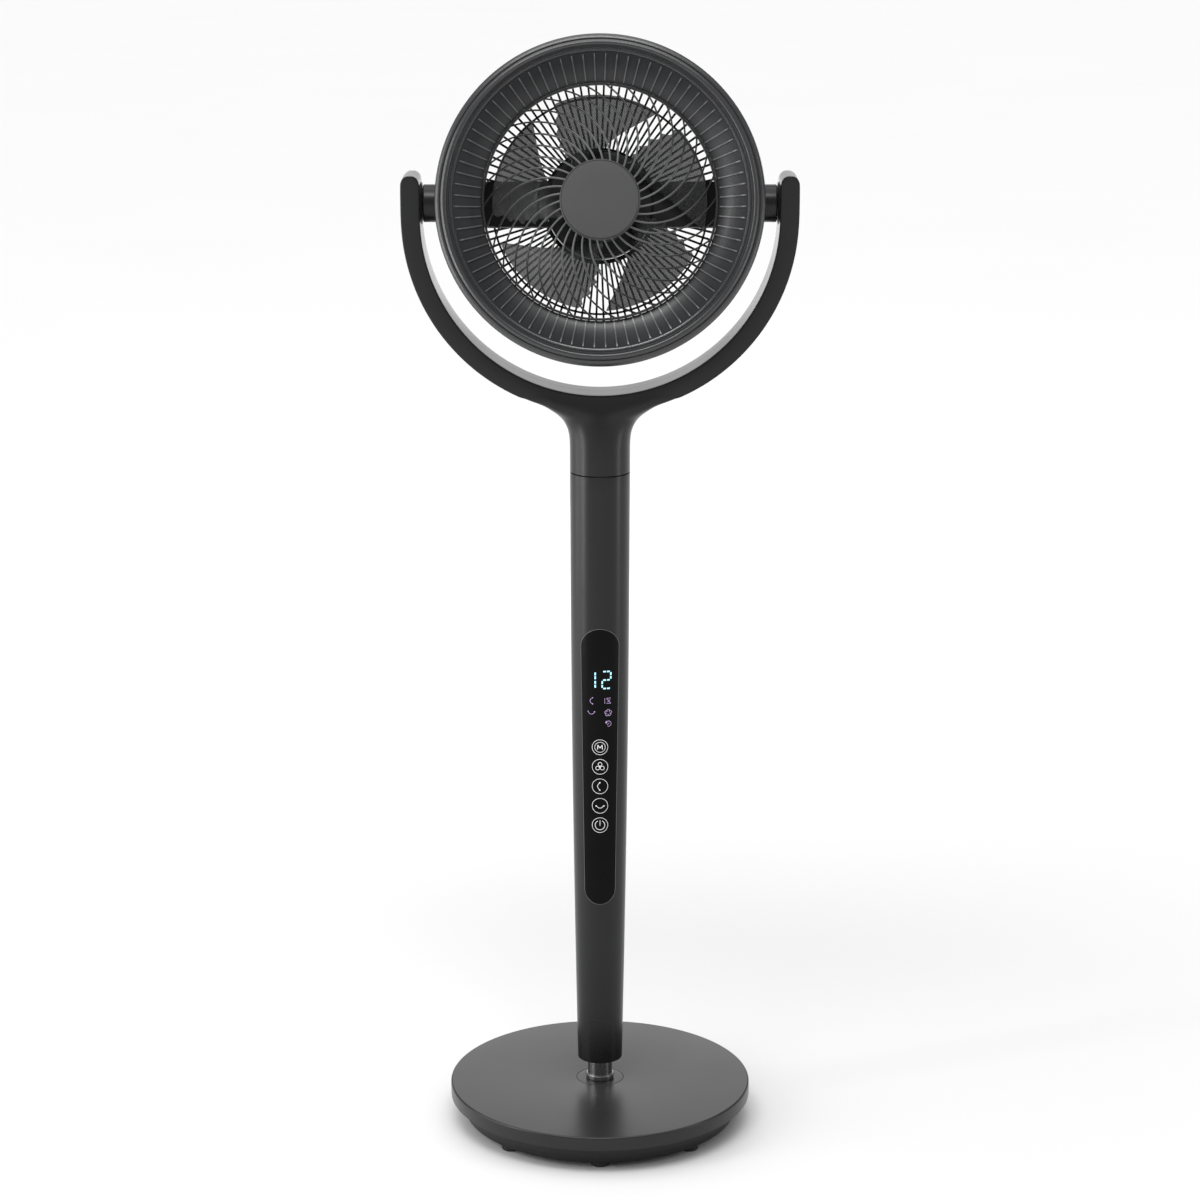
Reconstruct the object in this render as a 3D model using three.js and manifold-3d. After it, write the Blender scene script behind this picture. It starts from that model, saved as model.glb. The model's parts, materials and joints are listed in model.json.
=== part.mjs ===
// Pedestal air-circulator fan: a weighted round base, a tapered column with a touch panel,
// a swivelling U-shaped yoke and a round head that tilts between the yoke's arms.
// Millimetres, +Z up. The fan blows towards -Y. Origin: centre of the base, on the floor.
import * as THREE from 'three';
import { mergeVertices } from 'three/addons/utils/BufferGeometryUtils.js';
import Module from 'manifold-3d';

const wasm = await Module();
wasm.setup();

// Roundness of the turned pieces
const largeSides = 36;
const columnSides = 32;
const mediumSides = 20;
const smallSides = 12;

// Clearances
const partGap = 0.3; // between pieces that are fixed together
const runningGap = 0.5; // between pieces that turn against each other
const overcut = 1; // how far a cutting solid runs past what it cuts

// Feet and base
const footCount = 8;
const footRadius = 9.3;
const footHeight = 6;
const footInset = 11.5; // from the lower pan's edge to the middle of a foot
const footEdge = 1;
const baseRadius = 155;
const coverHeight = 14;
const coverWall = 2.7;
const coverEdge = 1.8;
const panInset = 5; // the pan's rim, inside the cover's edge
const panHeight = 20;
const panFlare = 10.5; // how far the pan's side leans out
const panWall = 3;
const panLip = 5; // how far the pan's rim stands up inside the cover
const ballastThickness = 7;
const ballastInset = 14;
const ballastRise = 3; // above the pan's floor, room for the nut under the pole
const inletWidth = 16;
const inletHeight = 11;
const inletDepth = 14;
const inletBore = 2.9;
const inletPin = 1.05;
const inletPinSetback = 3; // from the mouth of the inlet to the tip of its pin
const inletRise = 2; // from the pan's floor up to the inlet

// Pole
const poleRadius = 12.5;
const poleWall = 1.2;
const poleExposed = 24; // between the base and the column
const poleInsert = 166; // hidden inside the column
const collarWall = 1.4;
const collarHeight = 5.2;
const socketFlange = 24; // radius of the flush disc around the pole
const socketWall = 3.2;
const nutWidth = 4.5; // radial thickness of the nut under the base
const nutAccess = 2.5; // room for a socket spanner around that nut
const nutSetback = 0.4; // from the pan's underside up to the nut
const poleSetback = 1; // from the pan's underside up to the end of the pole

// Column
const columnLength = 621;
const columnTopRadius = 29.75;
const columnBottomRadius = 22.8;
const columnTaperPower = 1.9;
const columnWall = 2.5;
const columnStations = 6;
const bushHeight = 22;
const bushInset = 1.5; // from the column's lower end up to the lower bush
const bushTopInset = 4; // from the pole's top end down to the upper bush
const seamGap = 1; // visible line between the column and the neck

// Touch panel and electronics
const panelTopDrop = 155; // from the seam down to the panel's top
const panelLength = 290.6;
const panelTopHalfWidth = 18.85;
const panelBottomHalfWidth = 15.35;
const panelThickness = 2;
const panelRecess = 0.4;
const displayDrop = 52.5; // from the panel's top to the middle of the display
const displayWidth = 24;
const displayHeight = 26;
const displayDepth = 6;
const boardWidth = 25;
const boardThickness = 1.6;
const boardRise = 10; // from the pole's top end up to the board
const loomRadius = 3;
const loomBottomInset = 2; // above the pan's underside
const loomTopInset = 4; // below the swivel seat

// Swivel bearing
const seatDepth = 17; // from the seam down to the bearing face
const seatThickness = 8;
const spindleWall = 3.5;
const spindleProud = 0.8; // above the retaining nut
const washerThickness = 2;
const washerBoreGap = 1; // between the spindle and the thrust washer
const washerInset = 2.95; // from the seat's edge in to the washer's edge
const floorThickness = 9;
const gearTeeth = 30;
const pinionTeeth = 12;
const gearThickness = 6.2;
const toothShare = 0.36; // tooth thickness on the pitch circle, as a share of the pitch
const addendum = 0.8; // in modules
const dedendum = 1.15; // in modules
const toothRootShare = 1.6; // half width of a tooth at its root, in half teeth
const toothTipShare = 0.45; // and at its tip
const gearRim = 1.78; // between the teeth and the spindle
const pinionWallGap = 5.01; // from the pinion's tips to the neck's wall
const retainerThickness = 5.4;
const retainerShaftGap = 1.1; // between the retaining nut's corners and the pinion's shaft
const bracketThickness = 2;
const bracketRise = 1.7; // from the retaining nut up to the bracket

// Small geared motors, one for the swivel and one for the tilt
const driveRadius = 14;
const driveLength = 19;
const driveThroatGap = 5; // from the throat's wall out to the tilt drive
const driveOffset = 8; // from the motor's middle to its output shaft
const pinionShaftRadius = 2.2;
const tiltShaftRadius = 3.5;
const shaftEngagement = 6;
const shaftHoleGap = 1.5; // around the pinion's shaft in the bracket

// Neck and yoke
const neckStraight = 34; // cylindrical part above the seam
const neckRise = 61.7; // from the seam to the underside of the yoke's ring
const headSideGap = 14.5; // between the head's rim and the yoke
const yokeThickness = 18.8;
const yokeDepth = 50;
const yokeWall = 2.5;
const yokeEdge = 3.5;
const yokeCoreGap = 1.5; // from the neck's top up to the inside of the yoke's arc
const neckSink = 1; // how far the neck's faces stay behind the yoke's
const pivotRise = 11.6; // from the centre of the yoke's arc up to the tilt axis
const armTipRise = 30.8; // from the tilt axis to the top of an arm
const armCollarRadius = 19.6;
const armCollarHeight = 1.6;

// Tilt bearings
const bossRadius = 18.5;
const bossWall = 3;
const pinRadius = 6;
const pinBore = 4.2;
const pinHoleGap = 1.5; // around the pin in the rear shell
const bossLiningGap = 1.2; // around the pin's line inside the boss
const bushWall = 2.7;
const bushFlangeRadius = 13;
const bushFlangeThickness = 2.2;
const pinReach = 10.5; // how far the pin enters the arm
const socketRadius = 10;

// Head, measured forwards (+) and backwards (-) along its axis from the tilt axis
const headPitch = THREE.MathUtils.degToRad(11); // upward tilt at rest
const rimRadius = 159;
const rimPlane = 38; // where the rim is widest
const lipRise = 12; // from the widest plane to the front of the lip
const lipWidth = 17.5; // radial width of the rounded lip
const shellWall = 2.6;
const rimLean = 1.4; // how much narrower the rim is at the parting plane
const rearStep = 1.6; // from the rim in to the front edge of the rear shell
const rearBulge = 2.2; // power of the rear shell's curve
const partingPlane = 24; // joint between the front ring and the rear shell
const headRear = -46;
const rearInset = 25; // from the rim in to the rear edge of the shell
const dishDrop = 9.5; // from the front of the lip back to the dish
const dishLap = 1.5; // how far the lip overlaps the dish
const dishCurve = 1.5; // power of the dish's curve
const dishDepth = 22;
const throatLength = 30;
const throatFlare = 1.4;
const throatStart = 4; // straight part behind the grille
const grilleRadius = 114.2;
const grilleRingWidth = 2.4;
const grilleRingHeight = 6.4;
const grilleBarCount = 34;
const grilleBarWidth = 1.5;
const grilleBarDepth = 3;
const grilleBarSteps = 4;
const grilleHubHeight = 4.2;
const grilleHubWidth = 6.6;
const grilleHubInset = 1.4; // from the hub cap's edge in to the grille's hub ring
const barRootInset = 4; // from the hub cap's edge in to where the bars start
const sweepLinear = THREE.MathUtils.degToRad(29); // how far a grille bar turns, straight part
const sweepSquare = THREE.MathUtils.degToRad(16); // and the part that grows outwards
const domePower = 1.7;
const domeFront = 43.5; // middle of the grille bars at the hub
const hubCapRadius = 38.6;
const hubCapFace = 54;
const hubCapWall = 2.2;
const hubCapHeight = 7.8;
const hubCapEdge = 0.8;

// Rear grille
const rearBarCount = 96;
const rearBarWidth = 1.3;
const rearBarDepth = 2;
const rearRingWidth = 5;
const rearRingHeight = 5;
const rearHubWidth = 4;
const rearRimGap = 0.5; // between the rear shell's wall and the grille
const rearBarRise = 2; // from the rear face in to the middle of the bars
const rearBarLap = 1; // how far the bars run into the two rings

// Impeller
const impellerRadius = 104;
const impellerHubRadius = 38;
const bladeCount = 5;
const bladeThickness = 1.8;
const bladeRear = -7;
const bladeFront = 13;
const hubFront = 24;
const hubRear = -9;
const hubWall = 2.5;
const hubEdge = 2; // bevel on the hub's front
const bossWidth = 4; // radial thickness of the boss around the shaft
const bossDepth = 16;
const bladeCamber = 2;
const impellerNutRadius = 9;
const impellerNutHeight = 8.6;
const impellerNutCrown = 2;

// Fan motor
const housingRadius = 52.5;
const housingFront = -14;
const housingWall = 2.5;
const housingEdge = 3; // bevel on the housing's front
const housingLip = 1.5; // how far the bearing's lip stands in front of the housing
const housingShaftGap = 1; // around the shaft
const shaftRadius = 4;
const shaftFront = 31;
const bearingRadius = 11;
const bearingHeight = 7;
const bearingWall = 3;
const bearingRise = 3.5; // from the rear face in to the rear bearing
const coverThickness = 2.8;
const motorCoverEdge = 1;
const statorRadius = 32;
const statorBore = 17;
const statorHeight = 13;
const rotorRadius = 16.4;
const statorRise = 1.5; // from the rear bearing in to the stator
const statorWeb = 3; // thickness of the web that carries the stator
const webInset = 2; // how far the web starts inside the stator's edge and above its back
const webGap = 1; // between the web and the housing
const rotorRise = 0.5; // from the stator's back in to the rotor
const rotorGap = 0.6; // between the rotor and the front bearing
const shaftRise = 0.8; // from the cover in to the end of the shaft

// Cross beams from the fan motor out to the rear shell
const beamHeight = 44;
const beamFront = -15;
const beamDepth = 21;
const beamWall = 2.5;
const beamLap = 6; // how far a beam reaches in under the housing's edge

// Heights that follow from the sizes above
const baseTopZ = footHeight + panHeight + coverHeight;
const columnBottomZ = baseTopZ + poleExposed;
const seamZ = columnBottomZ + columnLength;
const yokeInnerRadius = rimRadius + headSideGap;
const yokeOuterRadius = yokeInnerRadius + yokeThickness;
const yokeCentreZ = seamZ + neckRise + yokeOuterRadius;
const pivotZ = yokeCentreZ + pivotRise;
const armTipZ = pivotZ + armTipRise;
const panelTopZ = seamZ - panelTopDrop;
const panelBottomZ = panelTopZ - panelLength;

// The swivel gears fill the neck, and the spindle fills the gear.
const gearReach = columnTopRadius - columnWall - pinionWallGap;
const gearModule = gearReach / (gearTeeth / 2 + pinionTeeth + addendum);
const pinionY = (gearModule * (gearTeeth + pinionTeeth)) / 2;
const spindleRadius = gearModule * (gearTeeth / 2 - dedendum) - gearRim - partGap;
const spindleBore = spindleRadius - spindleWall;

const satinCharcoal = { color: 0x3a3b3d, roughness: 0.5, metalness: 0 };
const greyPlastic = { color: 0x58595b, roughness: 0.55, metalness: 0 };
const bladePlastic = { color: 0x6d6f72, roughness: 0.4, metalness: 0 };
const blackPlastic = { color: 0x161617, roughness: 0.6, metalness: 0 };
const blackGloss = { color: 0x08080a, roughness: 0.12, metalness: 0 };
const whiteNylon = { color: 0xd9d6cc, roughness: 0.5, metalness: 0 };
const blackRubber = { color: 0x111111, roughness: 0.9, metalness: 0 };
const brushedSteel = { color: 0xb4b6b8, roughness: 0.3, metalness: 1 };
const castIron = { color: 0x3c3a38, roughness: 0.8, metalness: 0.9 };
const circuitGreen = { color: 0x1f4a32, roughness: 0.6, metalness: 0 };
const copperCore = { color: 0x8a5a3a, roughness: 0.5, metalness: 0.8 };

// Solids

function toSolid(geometry) {
  geometry.deleteAttribute('normal');
  geometry.deleteAttribute('uv');
  const merged = mergeVertices(geometry, 1e-4);
  const corners = Array.from(merged.index.array);
  const kept = [];
  for (let i = 0; i < corners.length; i += 3) {
    const [a, b, c] = corners.slice(i, i + 3);
    if (a !== b && b !== c && c !== a) {
      kept.push(a, b, c);
    }
  }
  const vertProperties = new Float32Array(merged.attributes.position.array);
  const triVerts = new Uint32Array(kept);
  return new wasm.Manifold(new wasm.Mesh({ numProp: 3, vertProperties, triVerts }));
}

function toGeometry(solid) {
  const mesh = solid.getMesh();
  const geometry = new THREE.BufferGeometry();
  geometry.setAttribute('position', new THREE.BufferAttribute(mesh.vertProperties, 3));
  geometry.setIndex(new THREE.BufferAttribute(mesh.triVerts, 1));
  geometry.computeVertexNormals();
  return geometry;
}

function joinAll(solids) {
  return solids.reduce((joined, solid) => joined.add(solid));
}

// A turned solid about Z from [radius, height] points, either closed or ending on the axis.
function turned(points, sides = largeSides) {
  const profile = points.map(([radius, height]) => new THREE.Vector2(radius, height));
  let area = 0;
  profile.forEach((point, i) => {
    const next = profile[(i + 1) % profile.length];
    area += point.x * next.y - next.x * point.y;
  });
  if (area < 0) {
    profile.reverse();
  }
  const onAxis = profile.filter((point) => point.x === 0).length > 0;
  if (onAxis) {
    while (!(profile[0].x === 0 && profile[profile.length - 1].x === 0)) {
      profile.push(profile.shift());
    }
  } else {
    profile.push(profile[0].clone());
  }
  const geometry = new THREE.LatheGeometry(profile, sides);
  geometry.rotateX(Math.PI / 2);
  return toSolid(geometry);
}

function ring(innerRadius, outerRadius, bottom, top, sides = largeSides) {
  const corners = [[innerRadius, bottom], [outerRadius, bottom], [outerRadius, top], [innerRadius, top]];
  return turned(corners, sides);
}

function disc(radius, bottom, top, sides = largeSides) {
  return turned([[0, bottom], [radius, bottom], [radius, top], [0, top]], sides);
}

function hexNut(boreRadius, wall, bottom, top) {
  const bore = disc(boreRadius, bottom - overcut, top + overcut, mediumSides);
  return disc(boreRadius + wall, bottom, top, 6).subtract(bore);
}

// A turned solid about X: heights in the profile are distances along X.
function turnedAlongX(points, sides = mediumSides) {
  return turned(points, sides).rotate([0, 90, 0]);
}

function block(width, depth, height, x = 0, y = 0, z = 0) {
  const geometry = new THREE.BoxGeometry(width, depth, height);
  geometry.translate(x, y, z);
  return toSolid(geometry);
}

// A box whose corners are moved by a function of (-0.5...0.5) along, across and up.
function bentBlock(alongSteps, acrossSteps, place) {
  const geometry = new THREE.BoxGeometry(1, 1, 1, alongSteps, acrossSteps, 1);
  const position = geometry.attributes.position;
  for (let i = 0; i < position.count; i += 1) {
    const point = place(position.getX(i), position.getY(i), position.getZ(i));
    position.setXYZ(i, point.x, point.y, point.z);
  }
  return toSolid(geometry);
}

function mirroredInX(solid) {
  return solid.mirror([1, 0, 0]);
}

// Assembly

const fan = new THREE.Group();
const head = new THREE.Group();
head.position.set(0, 0, pivotZ);
head.rotation.x = Math.PI / 2 - headPitch;
fan.add(head);

function addPart(name, solid, finish, parent = fan) {
  const mesh = new THREE.Mesh(toGeometry(solid), new THREE.MeshStandardMaterial(finish));
  mesh.name = name;
  parent.add(mesh);
}

// Base

function addFeet() {
  const top = footHeight - partGap;
  const profile = [[0, 0], [footRadius - footEdge, 0], [footRadius, top], [0, top]];
  const circleRadius = baseRadius - panInset - panFlare - footInset;
  for (let i = 0; i < footCount; i += 1) {
    const angle = (i / footCount) * 2 * Math.PI - Math.PI / 2;
    const foot = turned(profile, smallSides);
    const x = circleRadius * Math.cos(angle);
    const y = circleRadius * Math.sin(angle);
    addPart(`foot_${i + 1}`, foot.translate([x, y, 0]), blackRubber);
  }
}

function inletPlaceY() {
  return baseRadius - panInset - panFlare - inletDepth / 2;
}

function inletPlaceZ() {
  return footHeight + panWall + partGap + inletRise + inletHeight / 2;
}

function inletSolid(margin) {
  const width = inletWidth + 2 * margin;
  const height = inletHeight + 2 * margin;
  return block(width, inletDepth, height, 0, inletPlaceY(), inletPlaceZ());
}

function addBase() {
  const rimRadiusPan = baseRadius - panInset;
  const footRadiusPan = rimRadiusPan - panFlare;
  const bandZ = footHeight + panHeight;
  const nutOpening = poleRadius + partGap + nutWidth + nutAccess;
  const pan = turned([
    [nutOpening, footHeight],
    [footRadiusPan - panWall, footHeight],
    [footRadiusPan, footHeight + panWall],
    [rimRadiusPan, bandZ],
    [rimRadiusPan, bandZ + panLip],
    [rimRadiusPan - panWall, bandZ + panLip],
    [rimRadiusPan - panWall, bandZ],
    [footRadiusPan - panWall, footHeight + panWall],
    [nutOpening, footHeight + panWall],
  ]);
  // The socket's window runs out through the leaning side of the pan.
  const window = inletSolid(partGap).add(inletSolid(partGap).translate([0, inletDepth / 2, 0]));
  addPart('base_pan', pan.subtract(window), blackPlastic);

  const cover = turned([
    [baseRadius, bandZ],
    [baseRadius, baseTopZ - coverEdge],
    [baseRadius - coverEdge, baseTopZ],
    [socketFlange + partGap, baseTopZ],
    [socketFlange + partGap, baseTopZ - coverWall],
    [baseRadius - coverWall - coverEdge, baseTopZ - coverWall],
    [baseRadius - coverWall, baseTopZ - coverWall - coverEdge],
    [baseRadius - coverWall, bandZ],
  ]);
  addPart('base_cover', cover, satinCharcoal);

  const ballastZ = footHeight + panWall + ballastRise;
  const ballastRadius = footRadiusPan - ballastInset;
  const ballastTop = ballastZ + ballastThickness;
  const ballast = ring(poleRadius + partGap, ballastRadius, ballastZ, ballastTop, mediumSides);
  addPart('ballast_plate', ballast, castIron);

  const socketBore = poleRadius + partGap;
  const socket = turned([
    [socketBore, ballastTop + partGap],
    [socketBore + socketWall, ballastTop + partGap],
    [socketBore + socketWall, baseTopZ - coverWall],
    [socketFlange, baseTopZ - coverWall],
    [socketFlange, baseTopZ],
    [socketBore, baseTopZ],
  ], mediumSides);
  addPart('pole_socket', socket, satinCharcoal);

  const nutTop = ballastZ - partGap;
  const nutBottom = footHeight + nutSetback;
  addPart('pole_nut', hexNut(socketBore, nutWidth, nutBottom, nutTop), brushedSteel);

  const barrel = disc(inletBore, 0, inletDepth, smallSides);
  const pin = disc(inletPin, -overcut, inletDepth - inletPinSetback, 8);
  const hole = barrel.subtract(pin).rotate([-90, 0, 0]);
  const holeStart = inletPlaceY() - inletDepth / 2 + inletPinSetback;
  const inlet = inletSolid(0).subtract(hole.translate([0, holeStart, inletPlaceZ()]));
  addPart('power_inlet', inlet, blackPlastic);
  addFeet();
}

// Pole and column

function columnRadius(z) {
  const drop = THREE.MathUtils.clamp((seamZ - z) / columnLength, 0, 1);
  return columnTopRadius - (columnTopRadius - columnBottomRadius) * drop ** columnTaperPower;
}

// The column's wall between two distances under its outer surface.
function columnSkin(outerInset, innerInset, bottom, top) {
  const outside = [];
  const inside = [];
  for (let i = 0; i <= columnStations; i += 1) {
    const z = bottom + ((top - bottom) * i) / columnStations;
    outside.push([columnRadius(z) - outerInset, z]);
    inside.unshift([columnRadius(z) - innerInset, z]);
  }
  return turned([...outside, ...inside], columnSides);
}

// Rounded, slightly tapering outline of the panel, cut straight back towards +Y.
function panelPrism(margin) {
  const outline = new THREE.Shape();
  const topCentre = panelTopZ - panelTopHalfWidth;
  const bottomCentre = panelBottomZ + panelBottomHalfWidth;
  outline.absarc(0, topCentre, panelTopHalfWidth + margin, 0, Math.PI, false);
  outline.absarc(0, bottomCentre, panelBottomHalfWidth + margin, Math.PI, 2 * Math.PI, false);
  const depth = 2 * columnTopRadius;
  const geometry = new THREE.ExtrudeGeometry(outline, { depth, bevelEnabled: false, curveSegments: 8 });
  geometry.rotateX(Math.PI / 2);
  return toSolid(geometry);
}

function addPole() {
  const bottom = footHeight + poleSetback;
  const top = columnBottomZ + poleInsert;
  addPart('pole', ring(poleRadius - poleWall, poleRadius, bottom, top, mediumSides), brushedSteel);
  const collarBottom = baseTopZ + partGap;
  const bore = poleRadius + partGap;
  const collar = ring(bore, bore + collarWall, collarBottom, collarBottom + collarHeight, mediumSides);
  addPart('pole_collar', collar, brushedSteel);
}

function addColumnBush(name, bottom) {
  const outside = columnRadius(bottom) - columnWall - partGap;
  const top = bottom + bushHeight;
  addPart(name, ring(poleRadius + partGap, outside, bottom, top, columnSides), blackPlastic);
}

function addColumn() {
  const top = seamZ - seamGap / 2;
  const shell = columnSkin(0, columnWall, columnBottomZ, top);
  addPart('column_shell', shell.subtract(panelPrism(partGap)), satinCharcoal);
  addColumnBush('column_bush_lower', columnBottomZ + bushInset);
  addColumnBush('column_bush_upper', columnBottomZ + poleInsert - bushHeight - bushTopInset);
}

function addElectronics() {
  const skin = columnSkin(panelRecess, panelRecess + panelThickness, columnBottomZ, seamZ - seamGap / 2);
  addPart('touch_panel', skin.intersect(panelPrism(0)), blackGloss);

  const displayZ = panelTopZ - displayDrop;
  const skinRadius = columnRadius(displayZ - displayHeight) - panelRecess - panelThickness;
  const reach = Math.sqrt(skinRadius ** 2 - (displayWidth / 2) ** 2) - 2 * partGap;
  const display = block(displayWidth, displayDepth, displayHeight, 0, displayDepth / 2 - reach, displayZ);
  addPart('display_module', display, blackPlastic);

  const boardFront = displayDepth - reach + partGap;
  const boardBottom = columnBottomZ + poleInsert + boardRise;
  const boardHeight = panelTopZ - boardBottom;
  const boardY = boardFront + boardThickness / 2;
  const board = block(boardWidth, boardThickness, boardHeight, 0, boardY, boardBottom + boardHeight / 2);
  addPart('control_board', board, circuitGreen);

  const loomTop = seamZ - seatDepth - seatThickness - loomTopInset;
  addPart('wiring_loom', disc(loomRadius, footHeight + loomBottomInset, loomTop, 8), blackRubber);
}

// Swivel bearing and drive

function gearSolid(teeth, bore, bottom, top) {
  const pitchRadius = (gearModule * teeth) / 2;
  const tip = pitchRadius + addendum * gearModule;
  const root = pitchRadius - dedendum * gearModule;
  const half = (toothShare * Math.PI) / teeth;
  const outline = new THREE.Shape();
  for (let i = 0; i < teeth; i += 1) {
    const middle = (i / teeth) * 2 * Math.PI;
    const corners = [
      [root, -toothRootShare],
      [tip, -toothTipShare],
      [tip, toothTipShare],
      [root, toothRootShare],
    ];
    corners.forEach(([radius, share]) => {
      const angle = middle + share * half;
      const x = radius * Math.cos(angle);
      const y = radius * Math.sin(angle);
      if (outline.curves.length === 0 && outline.currentPoint.length() === 0) {
        outline.moveTo(x, y);
      } else {
        outline.lineTo(x, y);
      }
    });
  }
  outline.closePath();
  const geometry = new THREE.ExtrudeGeometry(outline, { depth: top - bottom, bevelEnabled: false });
  geometry.translate(0, 0, bottom);
  return toSolid(geometry).subtract(disc(bore, bottom - overcut, top + overcut, columnSides));
}

function addSwivel() {
  const seatTop = seamZ - seatDepth + seatThickness;
  const seatRadius = columnTopRadius - columnWall - partGap;
  const washerTop = seatTop + partGap + washerThickness;
  const floorBottom = washerTop + partGap;
  const floorTop = floorBottom + floorThickness;
  const gearBottom = floorTop + runningGap;
  const gearTop = gearBottom + gearThickness;
  const nutBottom = gearTop + partGap;
  const nutTop = nutBottom + retainerThickness;
  const bracketBottom = nutTop + bracketRise;
  const driveBottom = bracketBottom + bracketThickness + partGap;
  const bore = spindleRadius + partGap;
  const retainerWall = pinionY - pinionShaftRadius - retainerShaftGap - bore;

  const seat = turned([
    [spindleBore, seatTop - seatThickness],
    [seatRadius, seatTop - seatThickness],
    [seatRadius, seatTop],
    [spindleRadius, seatTop],
    [spindleRadius, nutTop + spindleProud],
    [spindleBore, nutTop + spindleProud],
  ], columnSides);
  addPart('swivel_seat', seat, blackPlastic);
  const washerBore = spindleRadius + washerBoreGap;
  const washer = ring(washerBore, seatRadius - washerInset, seatTop + partGap, washerTop, mediumSides);
  addPart('thrust_washer', washer, whiteNylon);
  addPart('swivel_gear', gearSolid(gearTeeth, bore, gearBottom, gearTop), whiteNylon);
  addPart('retaining_nut', hexNut(bore, retainerWall, nutBottom, nutTop), brushedSteel);

  const floorRadius = columnTopRadius - columnWall - runningGap;
  const neckFloor = ring(spindleRadius + runningGap, floorRadius, floorBottom, floorTop, columnSides);
  addPart('neck_floor', neckFloor, blackPlastic);
  const plate = disc(floorRadius, bracketBottom, bracketBottom + bracketThickness, columnSides);
  const shaftHole = disc(pinionShaftRadius + shaftHoleGap, bracketBottom - overcut, driveBottom, smallSides);
  addPart('drive_bracket', plate.subtract(shaftHole.translate([0, pinionY, 0])), brushedSteel);

  const drive = disc(driveRadius, driveBottom, driveBottom + driveLength, mediumSides);
  const socketTop = driveBottom + shaftEngagement;
  const socket = disc(pinionShaftRadius + partGap, driveBottom - overcut, socketTop, smallSides);
  const driveBody = drive.translate([0, pinionY - driveOffset, 0]);
  addPart('swivel_drive', driveBody.subtract(socket.translate([0, pinionY, 0])), brushedSteel);

  const pinion = gearSolid(pinionTeeth, pinionShaftRadius + partGap, gearBottom, gearTop);
  addPart('swivel_pinion', pinion.translate([0, pinionY, 0]), whiteNylon);
  const shaft = disc(pinionShaftRadius, gearBottom, socketTop - partGap, smallSides);
  addPart('pinion_shaft', shaft.translate([0, pinionY, 0]), brushedSteel);
}

// Neck and yoke

// The U in the XZ plane, drawn this far inside its outline.
function yokeOutline(inset) {
  const outer = yokeOuterRadius - inset;
  const inner = yokeInnerRadius + inset;
  const middle = (outer + inner) / 2;
  const tipRadius = (outer - inner) / 2;
  const tipCentreZ = armTipZ - yokeThickness / 2;
  const outline = new THREE.Shape();
  outline.moveTo(-outer, yokeCentreZ);
  outline.lineTo(-outer, tipCentreZ);
  outline.absarc(-middle, tipCentreZ, tipRadius, Math.PI, 0, true);
  outline.lineTo(-inner, yokeCentreZ);
  outline.absarc(0, yokeCentreZ, inner, Math.PI, 1.5 * Math.PI, false);
  outline.absarc(0, yokeCentreZ, inner, 1.5 * Math.PI, 2 * Math.PI, false);
  outline.lineTo(inner, tipCentreZ);
  outline.absarc(middle, tipCentreZ, tipRadius, Math.PI, 0, true);
  outline.lineTo(outer, yokeCentreZ);
  outline.absarc(0, yokeCentreZ, outer, 0, -0.5 * Math.PI, true);
  outline.absarc(0, yokeCentreZ, outer, -0.5 * Math.PI, -Math.PI, true);
  return outline;
}

function yokeRing(inset, edge) {
  const depth = yokeDepth - 2 * inset - 2 * edge;
  const bevel = { bevelThickness: edge, bevelSize: edge, bevelOffset: -edge, bevelSegments: 1 };
  const settings = { depth, curveSegments: 7, bevelEnabled: edge > 0, ...bevel };
  const geometry = new THREE.ExtrudeGeometry(yokeOutline(inset), settings);
  geometry.translate(0, 0, -depth / 2);
  geometry.rotateX(Math.PI / 2);
  return toSolid(geometry);
}

// The round neck, which widens sideways into the yoke and flattens to the yoke's depth.
function neckSolid(inset, bottom) {
  const neckTop = yokeCentreZ - yokeInnerRadius - yokeCoreGap - inset;
  const flareStart = seamZ + neckStraight;
  const flareRadius = yokeCentreZ - yokeInnerRadius - yokeCoreGap - flareStart;
  const steps = 7;
  const geometry = new THREE.CylinderGeometry(1, 1, 1, columnSides, steps);
  geometry.rotateX(Math.PI / 2);
  const position = geometry.attributes.position;
  for (let i = 0; i < position.count; i += 1) {
    const z = bottom + (neckTop - bottom) * (position.getZ(i) + 0.5);
    const climb = Math.min(Math.max(z - flareStart, 0), flareRadius);
    const widening = flareRadius - Math.sqrt(flareRadius ** 2 - climb ** 2);
    const flattening = THREE.MathUtils.smoothstep(climb, 0, flareRadius);
    const halfWidth = columnTopRadius + widening - inset;
    const halfDepth = THREE.MathUtils.lerp(columnTopRadius, yokeDepth / 2 - neckSink, flattening) - inset;
    position.setXYZ(i, halfWidth * position.getX(i), halfDepth * position.getY(i), z);
  }
  return toSolid(geometry);
}

function yokeBody() {
  const neckBottom = seamZ + seamGap / 2;
  const holeRadius = pinRadius + partGap + bushWall + partGap;
  const holeStart = yokeInnerRadius - armCollarHeight - overcut;
  const outside = yokeRing(0, yokeEdge).add(neckSolid(0, neckBottom));
  const collar = turnedAlongX([
    [0, yokeInnerRadius - armCollarHeight],
    [armCollarRadius, yokeInnerRadius - armCollarHeight],
    [armCollarRadius, yokeInnerRadius + overcut],
    [0, yokeInnerRadius + overcut],
  ]).translate([0, 0, pivotZ]);
  const hole = turnedAlongX([
    [0, holeStart],
    [holeRadius, holeStart],
    [holeRadius, yokeInnerRadius + yokeWall + overcut],
    [0, yokeInnerRadius + yokeWall + overcut],
  ]).translate([0, 0, pivotZ]);
  const hollow = yokeRing(yokeWall, 0).add(neckSolid(yokeWall, neckBottom - overcut));
  const solid = outside.add(collar).add(mirroredInX(collar));
  return solid.subtract(hollow).subtract(hole).subtract(mirroredInX(hole));
}

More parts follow.
